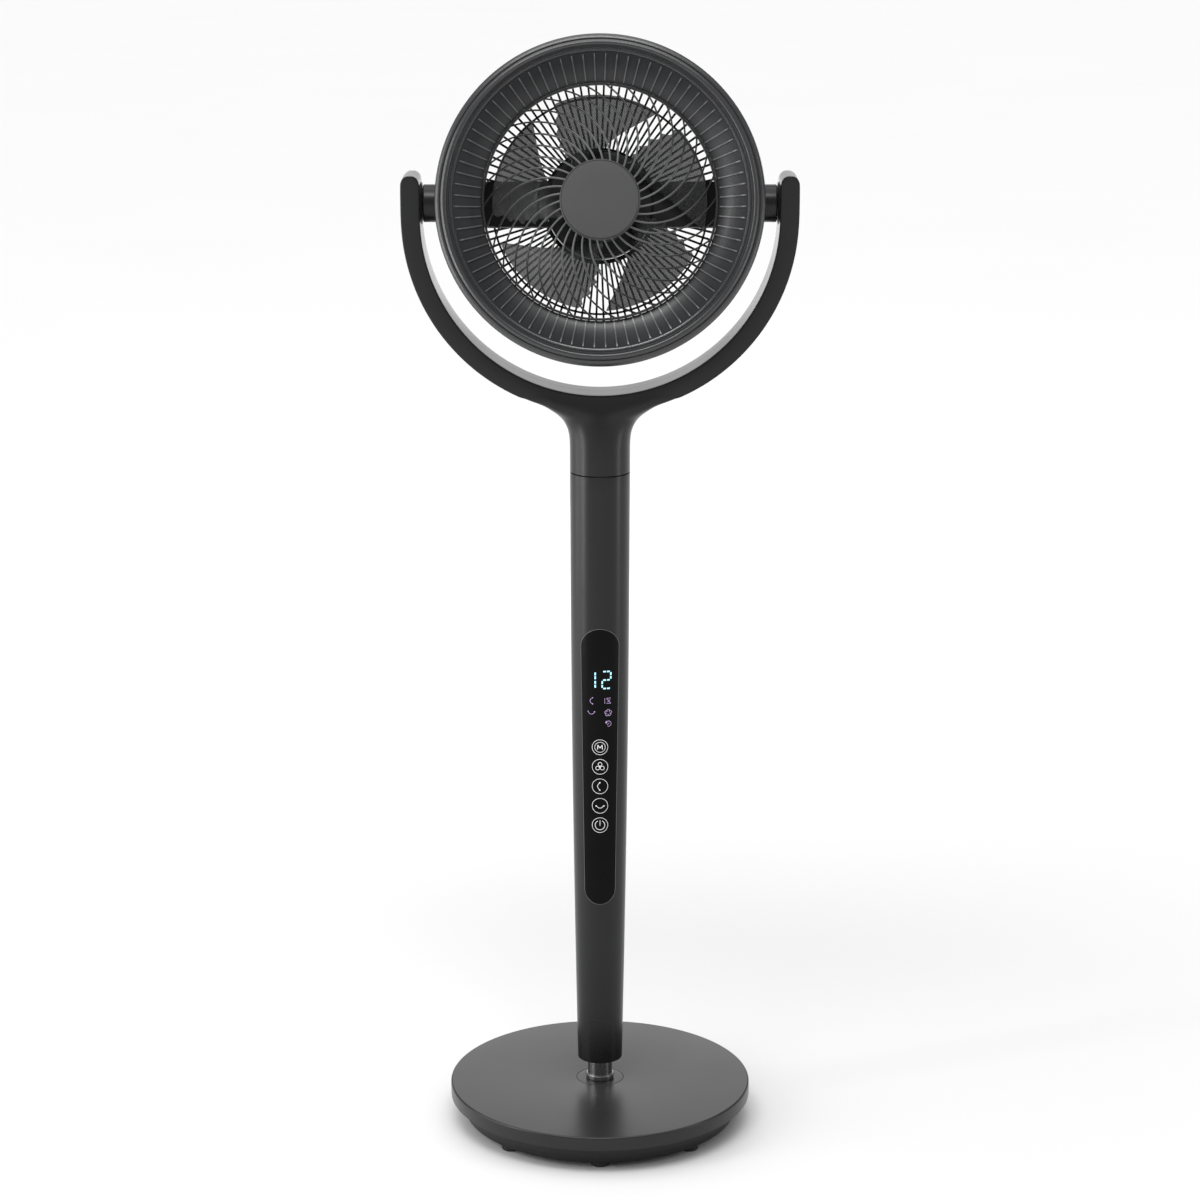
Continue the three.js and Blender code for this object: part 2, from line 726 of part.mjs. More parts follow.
function addYoke() {
  const body = yokeBody();
  const width = 2 * (yokeOuterRadius + overcut);
  const depth = 2 * columnTopRadius;
  const height = armTipZ - seamZ + 2 * overcut;
  const middleZ = (armTipZ + seamZ) / 2;
  const halfCutter = block(width, depth, height, 0, -(depth + partGap) / 2, middleZ);
  addPart('yoke_front_shell', body.intersect(halfCutter), satinCharcoal);
  addPart('yoke_rear_shell', body.intersect(halfCutter.mirror([0, 1, 0])), satinCharcoal);

  const bore = pinRadius + partGap;
  const flangeStart = yokeInnerRadius + yokeWall + partGap;
  const bush = turnedAlongX([
    [bore, yokeInnerRadius - armCollarHeight],
    [bore + bushWall, yokeInnerRadius - armCollarHeight],
    [bore + bushWall, flangeStart],
    [bushFlangeRadius, flangeStart],
    [bushFlangeRadius, flangeStart + bushFlangeThickness],
    [bore + bushWall, flangeStart + bushFlangeThickness],
    [bore + bushWall, yokeInnerRadius + pinReach],
    [bore, yokeInnerRadius + pinReach],
  ]).translate([0, 0, pivotZ]);
  addPart('tilt_bush_right', bush, whiteNylon);
  addPart('tilt_bush_left', mirroredInX(bush), whiteNylon);

  const socketStart = yokeInnerRadius + pinReach + runningGap;
  const socketEnd = yokeOuterRadius - yokeWall - partGap;
  const socket = turnedAlongX([
    [tiltShaftRadius + partGap, socketStart],
    [socketRadius, socketStart],
    [socketRadius, socketEnd],
    [tiltShaftRadius + partGap, socketEnd],
  ]).translate([0, 0, pivotZ]);
  addPart('tilt_shaft_socket', socket, whiteNylon);
  const shaft = turnedAlongX([
    [0, driveOuterX() - shaftEngagement + partGap],
    [tiltShaftRadius, driveOuterX() - shaftEngagement + partGap],
    [tiltShaftRadius, socketEnd],
    [0, socketEnd],
  ], smallSides).translate([0, 0, pivotZ]);
  addPart('tilt_shaft', shaft, brushedSteel);
}

// Head shells

const dishRadius = rimRadius - lipWidth;
const lipFront = rimPlane + lipRise;
const rearEdgeRadius = rimRadius - rearInset;
const dishFront = lipFront - dishDrop;
const dishBottom = dishFront - dishDepth;

// Points down the outside of the rear shell, moved in by a wall thickness.
function rearShellCurve(inset) {
  const steps = 5;
  const points = [];
  for (let i = 0; i <= steps; i += 1) {
    const share = i / steps;
    const depth = THREE.MathUtils.lerp(partingPlane - runningGap, headRear, share);
    const radius = rimRadius - rearStep - (rearInset - rearStep) * share ** rearBulge;
    points.push([radius - inset, depth]);
  }
  return points;
}

function shellEnvelope(inset) {
  const curve = rearShellCurve(inset);
  return turned([[0, curve[0][1]], ...curve, [0, headRear]]);
}

function addHeadShells() {
  const bezel = turned([
    [rimRadius - rimLean, partingPlane],
    [rimRadius, rimPlane],
    [rimRadius - 1.2, rimPlane + 6.5],
    [rimRadius - 4, rimPlane + 10.5],
    [rimRadius - 7.5, lipFront],
    [dishRadius + 2, lipFront - 2],
    [dishRadius, lipFront - 4],
    [dishRadius, dishFront + partGap],
    [dishRadius + shellWall, dishFront + partGap],
    [dishRadius + shellWall, lipFront - 5],
    [rimRadius - 7.5, lipFront - shellWall],
    [rimRadius - 4, rimPlane + 6],
    [rimRadius - shellWall, rimPlane],
    [rimRadius - rimLean - shellWall, partingPlane],
  ]);
  addPart('front_bezel', bezel, satinCharcoal, head);

  const throatRadius = grilleRadius + partGap;
  const dishSteps = 4;
  const dishFace = [];
  const dishBack = [];
  for (let i = 0; i <= dishSteps; i += 1) {
    const share = i / dishSteps;
    const radius = THREE.MathUtils.lerp(dishRadius + dishLap, throatRadius, share);
    const depth = dishFront - dishDepth * (1 - (1 - share) ** dishCurve);
    dishFace.push([radius, depth]);
    dishBack.unshift([radius + shellWall, depth - 0.6 * shellWall]);
  }
  dishBack.pop();
  const throatBack = dishBottom - throatLength;
  const dish = turned([
    ...dishFace,
    [throatRadius, dishBottom - throatStart],
    [throatRadius + throatFlare, throatBack],
    [throatRadius + throatFlare + shellWall, throatBack],
    [throatRadius + shellWall, dishBottom - throatStart],
    ...dishBack,
    [dishRadius + dishLap + shellWall, dishFront],
  ]);
  addPart('dish_ring', dish, satinCharcoal, head);

  const outside = rearShellCurve(0);
  const inside = rearShellCurve(shellWall).reverse();
  const shell = turned([...outside, ...inside]);
  const pinHole = turnedAlongX([
    [0, rimRadius / 2],
    [pinRadius + pinHoleGap, rimRadius / 2],
    [pinRadius + pinHoleGap, rimRadius + overcut],
    [0, rimRadius + overcut],
  ]);
  addPart('rear_shell', shell.subtract(pinHole).subtract(mirroredInX(pinHole)), satinCharcoal, head);
}

function addPivotBosses() {
  const faceX = yokeInnerRadius - armCollarHeight - runningGap;
  const startX = rearEdgeRadius;
  const boss = turnedAlongX([
    [pinBore, yokeInnerRadius + pinReach],
    [pinRadius, yokeInnerRadius + pinReach],
    [pinRadius, faceX],
    [bossRadius, faceX],
    [bossRadius, startX],
    [bossRadius - bossWall, startX],
    [bossRadius - bossWall, faceX - bossWall],
    [pinRadius + bossLiningGap, faceX - bossWall],
    [pinRadius + bossLiningGap, startX],
    [pinBore, startX],
  ]).subtract(shellEnvelope(-partGap));
  addPart('pivot_boss_right', boss, satinCharcoal, head);
  addPart('pivot_boss_left', mirroredInX(boss), satinCharcoal, head);
}

// The tilt drive stands in the space between the throat and the rear shell.
function driveOuterX() {
  return grilleRadius + throatFlare + shellWall + driveThroatGap + driveLength;
}

function tiltDriveBody(margin) {
  return turnedAlongX([
    [0, driveOuterX() - driveLength - margin],
    [driveRadius + margin, driveOuterX() - driveLength - margin],
    [driveRadius + margin, driveOuterX() + margin],
    [0, driveOuterX() + margin],
  ]).translate([0, 0, -driveOffset]);
}

function addTiltDrive() {
  const bore = turnedAlongX([
    [0, driveOuterX() - shaftEngagement],
    [tiltShaftRadius + partGap, driveOuterX() - shaftEngagement],
    [tiltShaftRadius + partGap, driveOuterX() + overcut],
    [0, driveOuterX() + overcut],
  ], smallSides);
  addPart('tilt_drive', tiltDriveBody(0).subtract(bore), brushedSteel, head);
}

// Grilles

// A spiral grille bar from the hub ring out to the grille's rim, starting at this angle.
function spiralBar(startAngle) {
  const innerRadius = hubCapRadius - barRootInset;
  const outerRadius = grilleRadius - grilleRingWidth / 2;
  const spot = (along) => {
    const share = along + 0.5;
    const radius = THREE.MathUtils.lerp(innerRadius, outerRadius, share);
    const angle = startAngle + sweepLinear * share + sweepSquare * share ** 2;
    const depth = domeFront - (domeFront - dishBottom) * share ** domePower;
    return new THREE.Vector3(radius * Math.cos(angle), radius * Math.sin(angle), depth);
  };
  return bentBlock(grilleBarSteps, 1, (along, across, up) => {
    const middle = spot(along);
    const ahead = spot(along + 0.01).sub(middle);
    const side = new THREE.Vector3(-ahead.y, ahead.x, 0).normalize();
    const point = middle.clone().addScaledVector(side, across * grilleBarWidth);
    point.z += up * grilleBarDepth;
    return point;
  });
}

function addFrontGrille() {
  const ringBottom = dishBottom - grilleRingHeight / 2;
  const hubOuter = hubCapRadius - grilleHubInset;
  const hubBottom = domeFront - grilleHubHeight / 2;
  const pieces = [
    ring(grilleRadius - grilleRingWidth, grilleRadius, ringBottom, ringBottom + grilleRingHeight),
    ring(hubOuter - grilleHubWidth, hubOuter, hubBottom, hubBottom + grilleHubHeight),
  ];
  for (let i = 0; i < grilleBarCount; i += 1) {
    pieces.push(spiralBar((i / grilleBarCount) * 2 * Math.PI));
  }
  addPart('front_grille', joinAll(pieces), satinCharcoal, head);

  const capBack = hubCapFace - hubCapHeight;
  const cap = turned([
    [0, hubCapFace],
    [hubCapRadius - hubCapEdge, hubCapFace],
    [hubCapRadius, hubCapFace - hubCapEdge],
    [hubCapRadius, capBack],
    [hubCapRadius - hubCapWall, capBack],
    [hubCapRadius - hubCapWall, hubCapFace - hubCapWall],
    [0, hubCapFace - hubCapWall],
  ]);
  addPart('hub_cap', cap, greyPlastic, head);
}

function addRearGrille() {
  const rim = rearEdgeRadius - shellWall - rearRimGap;
  const hub = housingRadius + partGap + rearHubWidth;
  const barMiddle = headRear + rearBarRise;
  const pieces = [
    ring(rim - rearRingWidth, rim, headRear, headRear + rearRingHeight),
    ring(hub - rearHubWidth, hub, headRear, headRear + rearRingHeight),
  ];
  const start = hub - rearBarLap;
  const length = rim - rearRingWidth + rearBarLap - start;
  for (let i = 0; i < rearBarCount; i += 1) {
    const bar = block(length, rearBarWidth, rearBarDepth, start + length / 2, 0, barMiddle);
    pieces.push(bar.rotate([0, 0, ((i + 0.5) / rearBarCount) * 360]));
  }
  addPart('rear_grille', joinAll(pieces), blackPlastic, head);
}

// Impeller

// Angles of a blade's two edges, in degrees, from its root (0) to its tip (1).
function leadingAngle(share) {
  return 103 - 74.6 * share + 28.9 * share ** 2;
}

function trailingAngle(share) {
  return 129.6 - 15.4 * share ** 2;
}

function bladeSolid(turn) {
  const rootRadius = impellerHubRadius - hubWall / 2;
  return bentBlock(4, 5, (along, across, up) => {
    const share = along + 0.5;
    const chord = across + 0.5;
    const degrees = THREE.MathUtils.lerp(leadingAngle(share), trailingAngle(share), chord);
    const angle = THREE.MathUtils.degToRad(degrees + turn);
    const radius = THREE.MathUtils.lerp(rootRadius, impellerRadius, share);
    const camber = bladeCamber * Math.sin(Math.PI * chord);
    const depth = THREE.MathUtils.lerp(bladeRear, bladeFront, chord) + camber + up * bladeThickness;
    return new THREE.Vector3(radius * Math.cos(angle), radius * Math.sin(angle), depth);
  });
}

function addImpeller() {
  const bore = shaftRadius + partGap;
  const boss = bore + bossWidth;
  const hub = turned([
    [bore, hubFront],
    [impellerHubRadius - hubEdge, hubFront],
    [impellerHubRadius, hubFront - hubEdge],
    [impellerHubRadius, hubRear],
    [impellerHubRadius - hubWall, hubRear],
    [impellerHubRadius - hubWall, hubFront - hubWall],
    [boss, hubFront - hubWall],
    [boss, hubFront - bossDepth],
    [bore, hubFront - bossDepth],
  ], mediumSides);
  const pieces = [hub];
  for (let i = 0; i < bladeCount; i += 1) {
    pieces.push(bladeSolid((i * 360) / bladeCount));
  }
  addPart('impeller', joinAll(pieces), bladePlastic, head);

  const nutBottom = hubFront + partGap;
  const nutTop = nutBottom + impellerNutHeight;
  const nut = turned([
    [bore, nutBottom],
    [impellerNutRadius, nutBottom],
    [impellerNutRadius, nutTop - impellerNutCrown],
    [impellerNutRadius - impellerNutCrown, nutTop],
    [0, nutTop],
    [0, shaftFront + partGap],
    [bore, shaftFront + partGap],
  ], smallSides);
  addPart('impeller_nut', nut, blackPlastic, head);
}

// Fan motor

function addFanMotor() {
  const bearingFrontTop = housingFront - partGap;
  const bearingFrontBottom = bearingFrontTop - bearingHeight;
  const bearingBack = headRear + bearingRise;
  const bearingBackTop = bearingBack + bearingHeight;
  const bossBore = bearingRadius + partGap;
  const housingBack = headRear + rearRingHeight + partGap;
  const housing = turned([
    [shaftRadius + housingShaftGap, housingFront + housingLip],
    [bossBore + bearingWall, housingFront + housingLip],
    [bossBore + bearingWall, housingFront],
    [housingRadius - housingEdge, housingFront],
    [housingRadius, housingFront - housingEdge],
    [housingRadius, housingBack],
    [housingRadius - housingWall, housingBack],
    [housingRadius - housingWall, housingFront - housingWall - housingEdge / 1.5],
    [bossBore + bearingWall, housingFront - housingWall],
    [bossBore + bearingWall, bearingFrontBottom],
    [bossBore, bearingFrontBottom],
    [bossBore, bearingFrontTop + partGap],
    [shaftRadius + housingShaftGap, bearingFrontTop + partGap],
  ], mediumSides);
  addPart('motor_housing', housing, blackPlastic, head);
  const bore = shaftRadius + partGap;
  const frontBearing = ring(bore, bearingRadius, bearingFrontBottom, bearingFrontTop, mediumSides);
  addPart('bearing_front', frontBearing, brushedSteel, head);
  const rearBearing = ring(bore, bearingRadius, bearingBack, bearingBackTop, mediumSides);
  addPart('bearing_rear', rearBearing, brushedSteel, head);

  const coverRadius = housingRadius - partGap;
  const coverFront = headRear + coverThickness;
  const cover = turned([
    [0, headRear],
    [coverRadius - motorCoverEdge, headRear],
    [coverRadius, headRear + motorCoverEdge],
    [coverRadius, coverFront],
    [bossBore + bearingWall, coverFront],
    [bossBore + bearingWall, bearingBackTop],
    [bossBore, bearingBackTop],
    [bossBore, coverFront],
    [0, coverFront],
  ], mediumSides);
  addPart('motor_cover', cover, blackPlastic, head);

  const statorBack = bearingBackTop + statorRise;
  const stator = ring(statorBore, statorRadius, statorBack, statorBack + statorHeight, mediumSides);
  const webOuter = housingRadius - housingWall - webGap;
  const webBack = statorBack + webInset;
  const web = ring(statorRadius - webInset, webOuter, webBack, webBack + statorWeb, mediumSides);
  addPart('stator', stator.add(web), copperCore, head);
  const rotor = ring(bore, rotorRadius, statorBack + rotorRise, bearingFrontBottom - rotorGap, mediumSides);
  addPart('rotor', rotor, brushedSteel, head);
  const shaft = disc(shaftRadius, coverFront + shaftRise, shaftFront, smallSides);
  addPart('motor_shaft', shaft, brushedSteel, head);
}

// Channel-shaped beams, open at the back, that carry the motor housing in the rear shell.
function addCrossBeams() {
  const startX = housingRadius - beamLap;
  const length = rimRadius - startX;
  const middleX = startX + length / 2;
  const beamMiddle = beamFront - beamDepth / 2;
  const channel = block(length, beamHeight, beamDepth, middleX, 0, beamMiddle);
  const innerLength = length - 2 * beamWall;
  const innerHeight = beamHeight - 2 * beamWall;
  const hollow = block(innerLength, innerHeight, beamDepth, middleX, 0, beamMiddle - beamWall);
  const housingSpace = disc(housingRadius + partGap, headRear - overcut, 0, mediumSides);
  const beam = channel.subtract(hollow).intersect(shellEnvelope(shellWall + partGap)).subtract(housingSpace);
  addPart('cross_beam_left', mirroredInX(beam), blackPlastic, head);
  addPart('cross_beam_right', beam.subtract(tiltDriveBody(runningGap)), blackPlastic, head);
}

addBase();
addPole();
addColumn();
addElectronics();
addSwivel();
addYoke();
addHeadShells();
addPivotBosses();
addTiltDrive();
addFrontGrille();
addRearGrille();
addImpeller();
addFanMotor();
addCrossBeams();

export default fan;
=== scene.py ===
import json
import math
import bmesh
import bpy
from mathutils import Matrix, Vector


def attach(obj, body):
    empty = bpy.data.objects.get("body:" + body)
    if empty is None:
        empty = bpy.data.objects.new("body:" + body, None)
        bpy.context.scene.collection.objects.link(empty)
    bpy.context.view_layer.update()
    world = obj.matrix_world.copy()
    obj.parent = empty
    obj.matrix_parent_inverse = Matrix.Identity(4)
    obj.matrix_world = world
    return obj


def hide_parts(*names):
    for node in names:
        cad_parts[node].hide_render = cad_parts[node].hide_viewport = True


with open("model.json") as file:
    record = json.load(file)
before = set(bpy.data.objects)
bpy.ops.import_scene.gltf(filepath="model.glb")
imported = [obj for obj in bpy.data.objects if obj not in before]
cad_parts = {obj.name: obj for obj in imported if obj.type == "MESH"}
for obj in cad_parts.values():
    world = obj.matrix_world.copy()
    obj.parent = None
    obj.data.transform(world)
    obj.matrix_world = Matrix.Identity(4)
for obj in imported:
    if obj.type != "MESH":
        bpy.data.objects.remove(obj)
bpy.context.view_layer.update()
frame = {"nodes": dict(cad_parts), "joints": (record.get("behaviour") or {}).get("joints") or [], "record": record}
print("frame loaded,", len(frame["nodes"]), "nodes")

# Lengths below are in millimetres. addPiece turns them into metres at the end.
mm = 0.001
nodes = frame["nodes"]
joints = {joint["name"]: joint for joint in frame["joints"]}
pivot = Vector(joints["head_tilt"]["pos_m"]) / mm
seamZ = joints["yoke_swivel"]["pos_m"][2] / mm
blowAxis = Vector(joints["impeller_spin"]["axis"])
headPitch = math.atan2(blowAxis.z, -blowAxis.y)
# The head is built lying down: Z forwards out of the fan, X right, Y up, from the tilt axis.
headPlace = Matrix.Translation(pivot) @ Matrix.Rotation(math.pi / 2 - headPitch, 4, "X")


def nodeBox(node, place=Matrix()):
    # lowest and highest corner of a frame part, in millimetres, measured in the given place
    back = place.inverted()
    points = [back @ (vertex.co / mm) for vertex in nodes[node].data.vertices]
    low = Vector([min(point[i] for point in points) for i in range(3)])
    high = Vector([max(point[i] for point in points) for i in range(3)])
    return low, high


def blendValue(start, end, share):
    return start + (end - start) * share


# Mesh helpers

def rounded(corners, segments=4):
    # each corner is (radius, height) or (radius, height, fillet)
    points = []
    for i, corner in enumerate(corners):
        here = Vector(corner[:2])
        fillet = corner[2] if len(corner) > 2 else 0
        if fillet == 0:
            points.append(here)
            continue
        back = Vector(corners[i - 1][:2]) - here
        ahead = Vector(corners[(i + 1) % len(corners)][:2]) - here
        # a fillet takes less than half of each side
        longest = 0.49 * min(back.length, ahead.length)
        reach = min(fillet / math.tan(back.angle(ahead) / 2), longest)
        start = here + back.normalized() * reach
        end = here + ahead.normalized() * reach
        for step in range(segments + 1):
            share = step / segments
            points.append(start.lerp(here, share).lerp(here.lerp(end, share), share))
    return points


def spun(points, sides=96, turn=2 * math.pi, start=0):
    # a closed profile of (radius, height) points turned about Z
    bm = bmesh.new()
    verts = []
    for radius, height in points:
        verts.append(bm.verts.new((radius * math.cos(start), radius * math.sin(start), height)))
    edges = [bm.edges.new(pair) for pair in zip(verts, verts[1:])]
    edges.append(bm.edges.new((verts[-1], verts[0])))
    fullTurn = turn > 2 * math.pi - 0.001
    bmesh.ops.spin(bm, geom=verts + edges, cent=(0, 0, 0), axis=(0, 0, 1), angle=turn, steps=sides,
                   use_merge=fullTurn)
    bmesh.ops.remove_doubles(bm, verts=bm.verts, dist=0.001)
    if not fullTurn:
        bmesh.ops.holes_fill(bm, edges=bm.edges, sides=0)
    bmesh.ops.recalc_face_normals(bm, faces=bm.faces)
    return bm


def copied(bm):
    mesh = bpy.data.meshes.new("copy")
    bm.to_mesh(mesh)
    other = bmesh.new()
    other.from_mesh(mesh)
    bpy.data.meshes.remove(mesh)
    return other


def joined(*parts):
    whole = bmesh.new()
    for part in parts:
        mesh = bpy.data.meshes.new("part")
        part.to_mesh(mesh)
        whole.from_mesh(mesh)
        bpy.data.meshes.remove(mesh)
        part.free()
    return whole


def looseObject(bm, name):
    mesh = bpy.data.meshes.new(name)
    bm.to_mesh(mesh)
    bm.free()
    looseThing = bpy.data.objects.new(name, mesh)
    bpy.context.scene.collection.objects.link(looseThing)
    return looseThing


def finishedMesh(thing):
    # the mesh with its modifiers worked out, as a new bmesh; the object is removed
    bpy.context.view_layer.update()
    result = bmesh.new()
    result.from_object(thing, bpy.context.evaluated_depsgraph_get())
    mesh = thing.data
    bpy.data.objects.remove(thing)
    bpy.data.meshes.remove(mesh)
    return result


def combined(bm, tool, operation="DIFFERENCE"):
    # cuts the tool out of the shape, or keeps only what both share
    body = looseObject(bm, "body")
    cutter = looseObject(tool, "cutter")
    modifier = body.modifiers.new("cut", "BOOLEAN")
    modifier.object = cutter
    modifier.operation = operation
    modifier.solver = "EXACT"
    result = finishedMesh(body)
    mesh = cutter.data
    bpy.data.objects.remove(cutter)
    bpy.data.meshes.remove(mesh)
    bmesh.ops.dissolve_degenerate(result, edges=result.edges, dist=0.0005)
    return result


def box(width, depth, height, middle=(0, 0, 0), edge=0.0):
    bm = bmesh.new()
    bmesh.ops.create_cube(bm, size=1)
    bmesh.ops.scale(bm, vec=(width, depth, height), verts=bm.verts)
    if edge:
        bmesh.ops.bevel(bm, geom=bm.edges, offset=edge, segments=2, affect="EDGES",
                        profile=0.5, material=-1)
    bmesh.ops.translate(bm, vec=middle, verts=bm.verts)
    return bm


def wholeOf(bm):
    return bm.verts[:] + bm.edges[:] + bm.faces[:]


def vertsIn(geom):
    return [item for item in geom if isinstance(item, bmesh.types.BMVert)]


def edgesIn(geom):
    return [item for item in geom if isinstance(item, bmesh.types.BMEdge)]


def ringOfCopies(bm, count):
    # copies of a shape about Z, the first one included
    step = 2 * math.pi / count
    bmesh.ops.spin(bm, geom=wholeOf(bm), cent=(0, 0, 0), axis=(0, 0, 1), angle=step * (count - 1),
                   steps=count - 1, use_duplicate=True)
    return bm


def addPiece(name, bm, body, finish, place=Matrix(), replaced=(), sharp=35):
    bmesh.ops.recalc_face_normals(bm, faces=bm.faces)
    bm.transform(Matrix.Scale(mm, 4) @ place)
    piece = looseObject(bm, name)
    piece.data.materials.append(finish)
    piece.data.polygons.foreach_set("use_smooth", [True] * len(piece.data.polygons))
    piece.data.set_sharp_from_angle(angle=math.radians(sharp))
    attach(piece, body)
    if replaced:
        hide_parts(*replaced)
    return piece


# Finishes

# pattern sizes in the finishes, in millimetres
patternSizes = {
    "plasticClouds": 55,
    "plasticPolish": 70,
    "rubberClouds": 4,
    "rubberGrain": 0.6,
    "panelClouds": 40,
    "panelPolish": 12,
    "glowSpots": 1.6,
    "inkSpots": 1.2,
    "floorClouds": 900,
}
noiseLow, noiseHigh = 0.3, 0.7  # most noise values lie between these


def startFinish(name, roughness=0.5, metallic=0.0, **sockets):
    material = bpy.data.materials.new(name)
    material.use_nodes = True
    tree = material.node_tree
    shader = tree.nodes["Principled BSDF"]
    shader.inputs["Roughness"].default_value = roughness
    shader.inputs["Metallic"].default_value = metallic
    for socket, value in sockets.items():
        shader.inputs[socket.replace("_", " ")].default_value = value
    return material, tree, shader


def shaded(color, share):
    return [channel * share for channel in color]


def noiseOver(tree, size, detail=3, stretch=(1, 1, 1)):
    # noise whose spots are about this many millimetres across
    coords = tree.nodes.new("ShaderNodeTexCoord")
    mapping = tree.nodes.new("ShaderNodeMapping")
    mapping.inputs["Scale"].default_value = stretch
    noise = tree.nodes.new("ShaderNodeTexNoise")
    noise.inputs["Scale"].default_value = 1 / (size * mm)
    noise.inputs["Detail"].default_value = detail
    tree.links.new(coords.outputs["Object"], mapping.inputs["Vector"])
    tree.links.new(mapping.outputs["Vector"], noise.inputs["Vector"])
    return noise.outputs["Fac"]


def mapRange(tree, value, fromLow, fromHigh, toLow, toHigh, ease="LINEAR"):
    node = tree.nodes.new("ShaderNodeMapRange")
    node.interpolation_type = ease
    limits = {"From Min": fromLow, "From Max": fromHigh, "To Min": toLow, "To Max": toHigh}
    for socket, limit in limits.items():
        node.inputs[socket].default_value = limit
    tree.links.new(value, node.inputs["Value"])
    return node.outputs["Result"]


def spreadTo(tree, value, low, high):
    return mapRange(tree, value, noiseLow, noiseHigh, low, high)


def vectorMath(tree, operation, first, second=None):
    node = tree.nodes.new("ShaderNodeVectorMath")
    node.operation = operation
    tree.links.new(first, node.inputs[0])
    if second is not None:
        node.inputs[1].default_value = second
    return node.outputs["Value" if operation == "LENGTH" else "Vector"]


def scaledColor(tree, color, share):
    node = tree.nodes.new("ShaderNodeVectorMath")
    node.operation = "SCALE"
    tree.links.new(color, node.inputs[0])
    tree.links.new(share, node.inputs["Scale"])
    return node.outputs["Vector"]


def tinted(tree, value, dark, light):
    ramp = tree.nodes.new("ShaderNodeValToRGB")
    for stop, position, color in zip(ramp.color_ramp.elements, (noiseLow, noiseHigh), (dark, light)):
        stop.position = position
        stop.color = (*color, 1)
    tree.links.new(value, ramp.inputs["Fac"])
    return ramp.outputs["Color"]


def bumped(tree, shader, value, depth):
    node = tree.nodes.new("ShaderNodeBump")
    node.inputs["Distance"].default_value = depth * mm
    node.inputs["Strength"].default_value = 1.0
    tree.links.new(value, node.inputs["Height"])
    tree.links.new(node.outputs["Normal"], shader.inputs["Normal"])


def mouldedPlastic(name, color, roughness, grain=0.45, grainDepth=0.012, variation=0.08, **sockets):
    # moulded plastic: cloudy colour, uneven polish and a fine eroded grain
    material, tree, shader = startFinish(name, roughness, **sockets)
    clouds = noiseOver(tree, patternSizes["plasticClouds"], 4)
    tint = tinted(tree, clouds, shaded(color, 1 - variation), shaded(color, 1 + variation))
    tree.links.new(tint, shader.inputs["Base Color"])
    polish = noiseOver(tree, patternSizes["plasticPolish"], 1)
    uneven = spreadTo(tree, polish, roughness - 0.02, roughness + 0.02)
    tree.links.new(uneven, shader.inputs["Roughness"])
    bumped(tree, shader, noiseOver(tree, grain, 2), grainDepth)
    return material


def paintedShadeOutwards(material, nearRadius, farRadius, farShare):
    # painted shade: the colour gets darker with the distance from the axis of the head, standing in for the outer
    # bars catching less light than those near the hub
    tree = material.node_tree
    shader = tree.nodes["Principled BSDF"]
    color = shader.inputs["Base Color"].links[0].from_socket
    coords = tree.nodes.new("ShaderNodeTexCoord")
    fromPivot = vectorMath(tree, "SUBTRACT", coords.outputs["Object"], pivot * mm)
    across = vectorMath(tree, "CROSS_PRODUCT", fromPivot, blowAxis)
    distance = vectorMath(tree, "LENGTH", across)
    share = mapRange(tree, distance, nearRadius * mm, farRadius * mm, 1, farShare)
    tree.links.new(scaledColor(tree, color, share), shader.inputs["Base Color"])


def brushedMetal(name, color, roughness, stretch, lineSize=0.35, depth=0.004):
    material, tree, shader = startFinish(name, roughness, metallic=1.0)
    lines = noiseOver(tree, lineSize, 3, stretch)
    tree.links.new(tinted(tree, lines, shaded(color, 0.82), color), shader.inputs["Base Color"])
    tree.links.new(spreadTo(tree, lines, roughness - 0.06, roughness + 0.1), shader.inputs["Roughness"])
    bumped(tree, shader, lines, depth)
    return material


def roughRubber(name, color=(0.012, 0.012, 0.012)):
    material, tree, shader = startFinish(name, 0.8)
    clouds = noiseOver(tree, patternSizes["rubberClouds"], 5)
    tree.links.new(tinted(tree, clouds, color, shaded(color, 1.8)), shader.inputs["Base Color"])
    bumped(tree, shader, noiseOver(tree, patternSizes["rubberGrain"], 3), 0.03)
    return material


def polishedPanel(name):
    # black acrylic with a little uneven polish
    material, tree, shader = startFinish(name, 0.1, Specular_IOR_Level=0.09)
    clouds = noiseOver(tree, patternSizes["panelClouds"], 3)
    color = tinted(tree, clouds, (0.001, 0.001, 0.0012), (0.002, 0.002, 0.0023))
    tree.links.new(color, shader.inputs["Base Color"])
    polish = noiseOver(tree, patternSizes["panelPolish"], 5)
    tree.links.new(spreadTo(tree, polish, 0.07, 0.15), shader.inputs["Roughness"])
    return material


def glowing(name, color, strength, dimShare=0.75, spotSize="glowSpots", detail=1, roughness=0.4):
    material, tree, shader = startFinish(name, roughness, Emission_Strength=strength)
    noise = noiseOver(tree, patternSizes[spotSize], detail)
    spots = tinted(tree, noise, shaded(color, dimShare), color)
    tree.links.new(spots, shader.inputs["Emission Color"])
    tree.links.new(spots, shader.inputs["Base Color"])
    return material


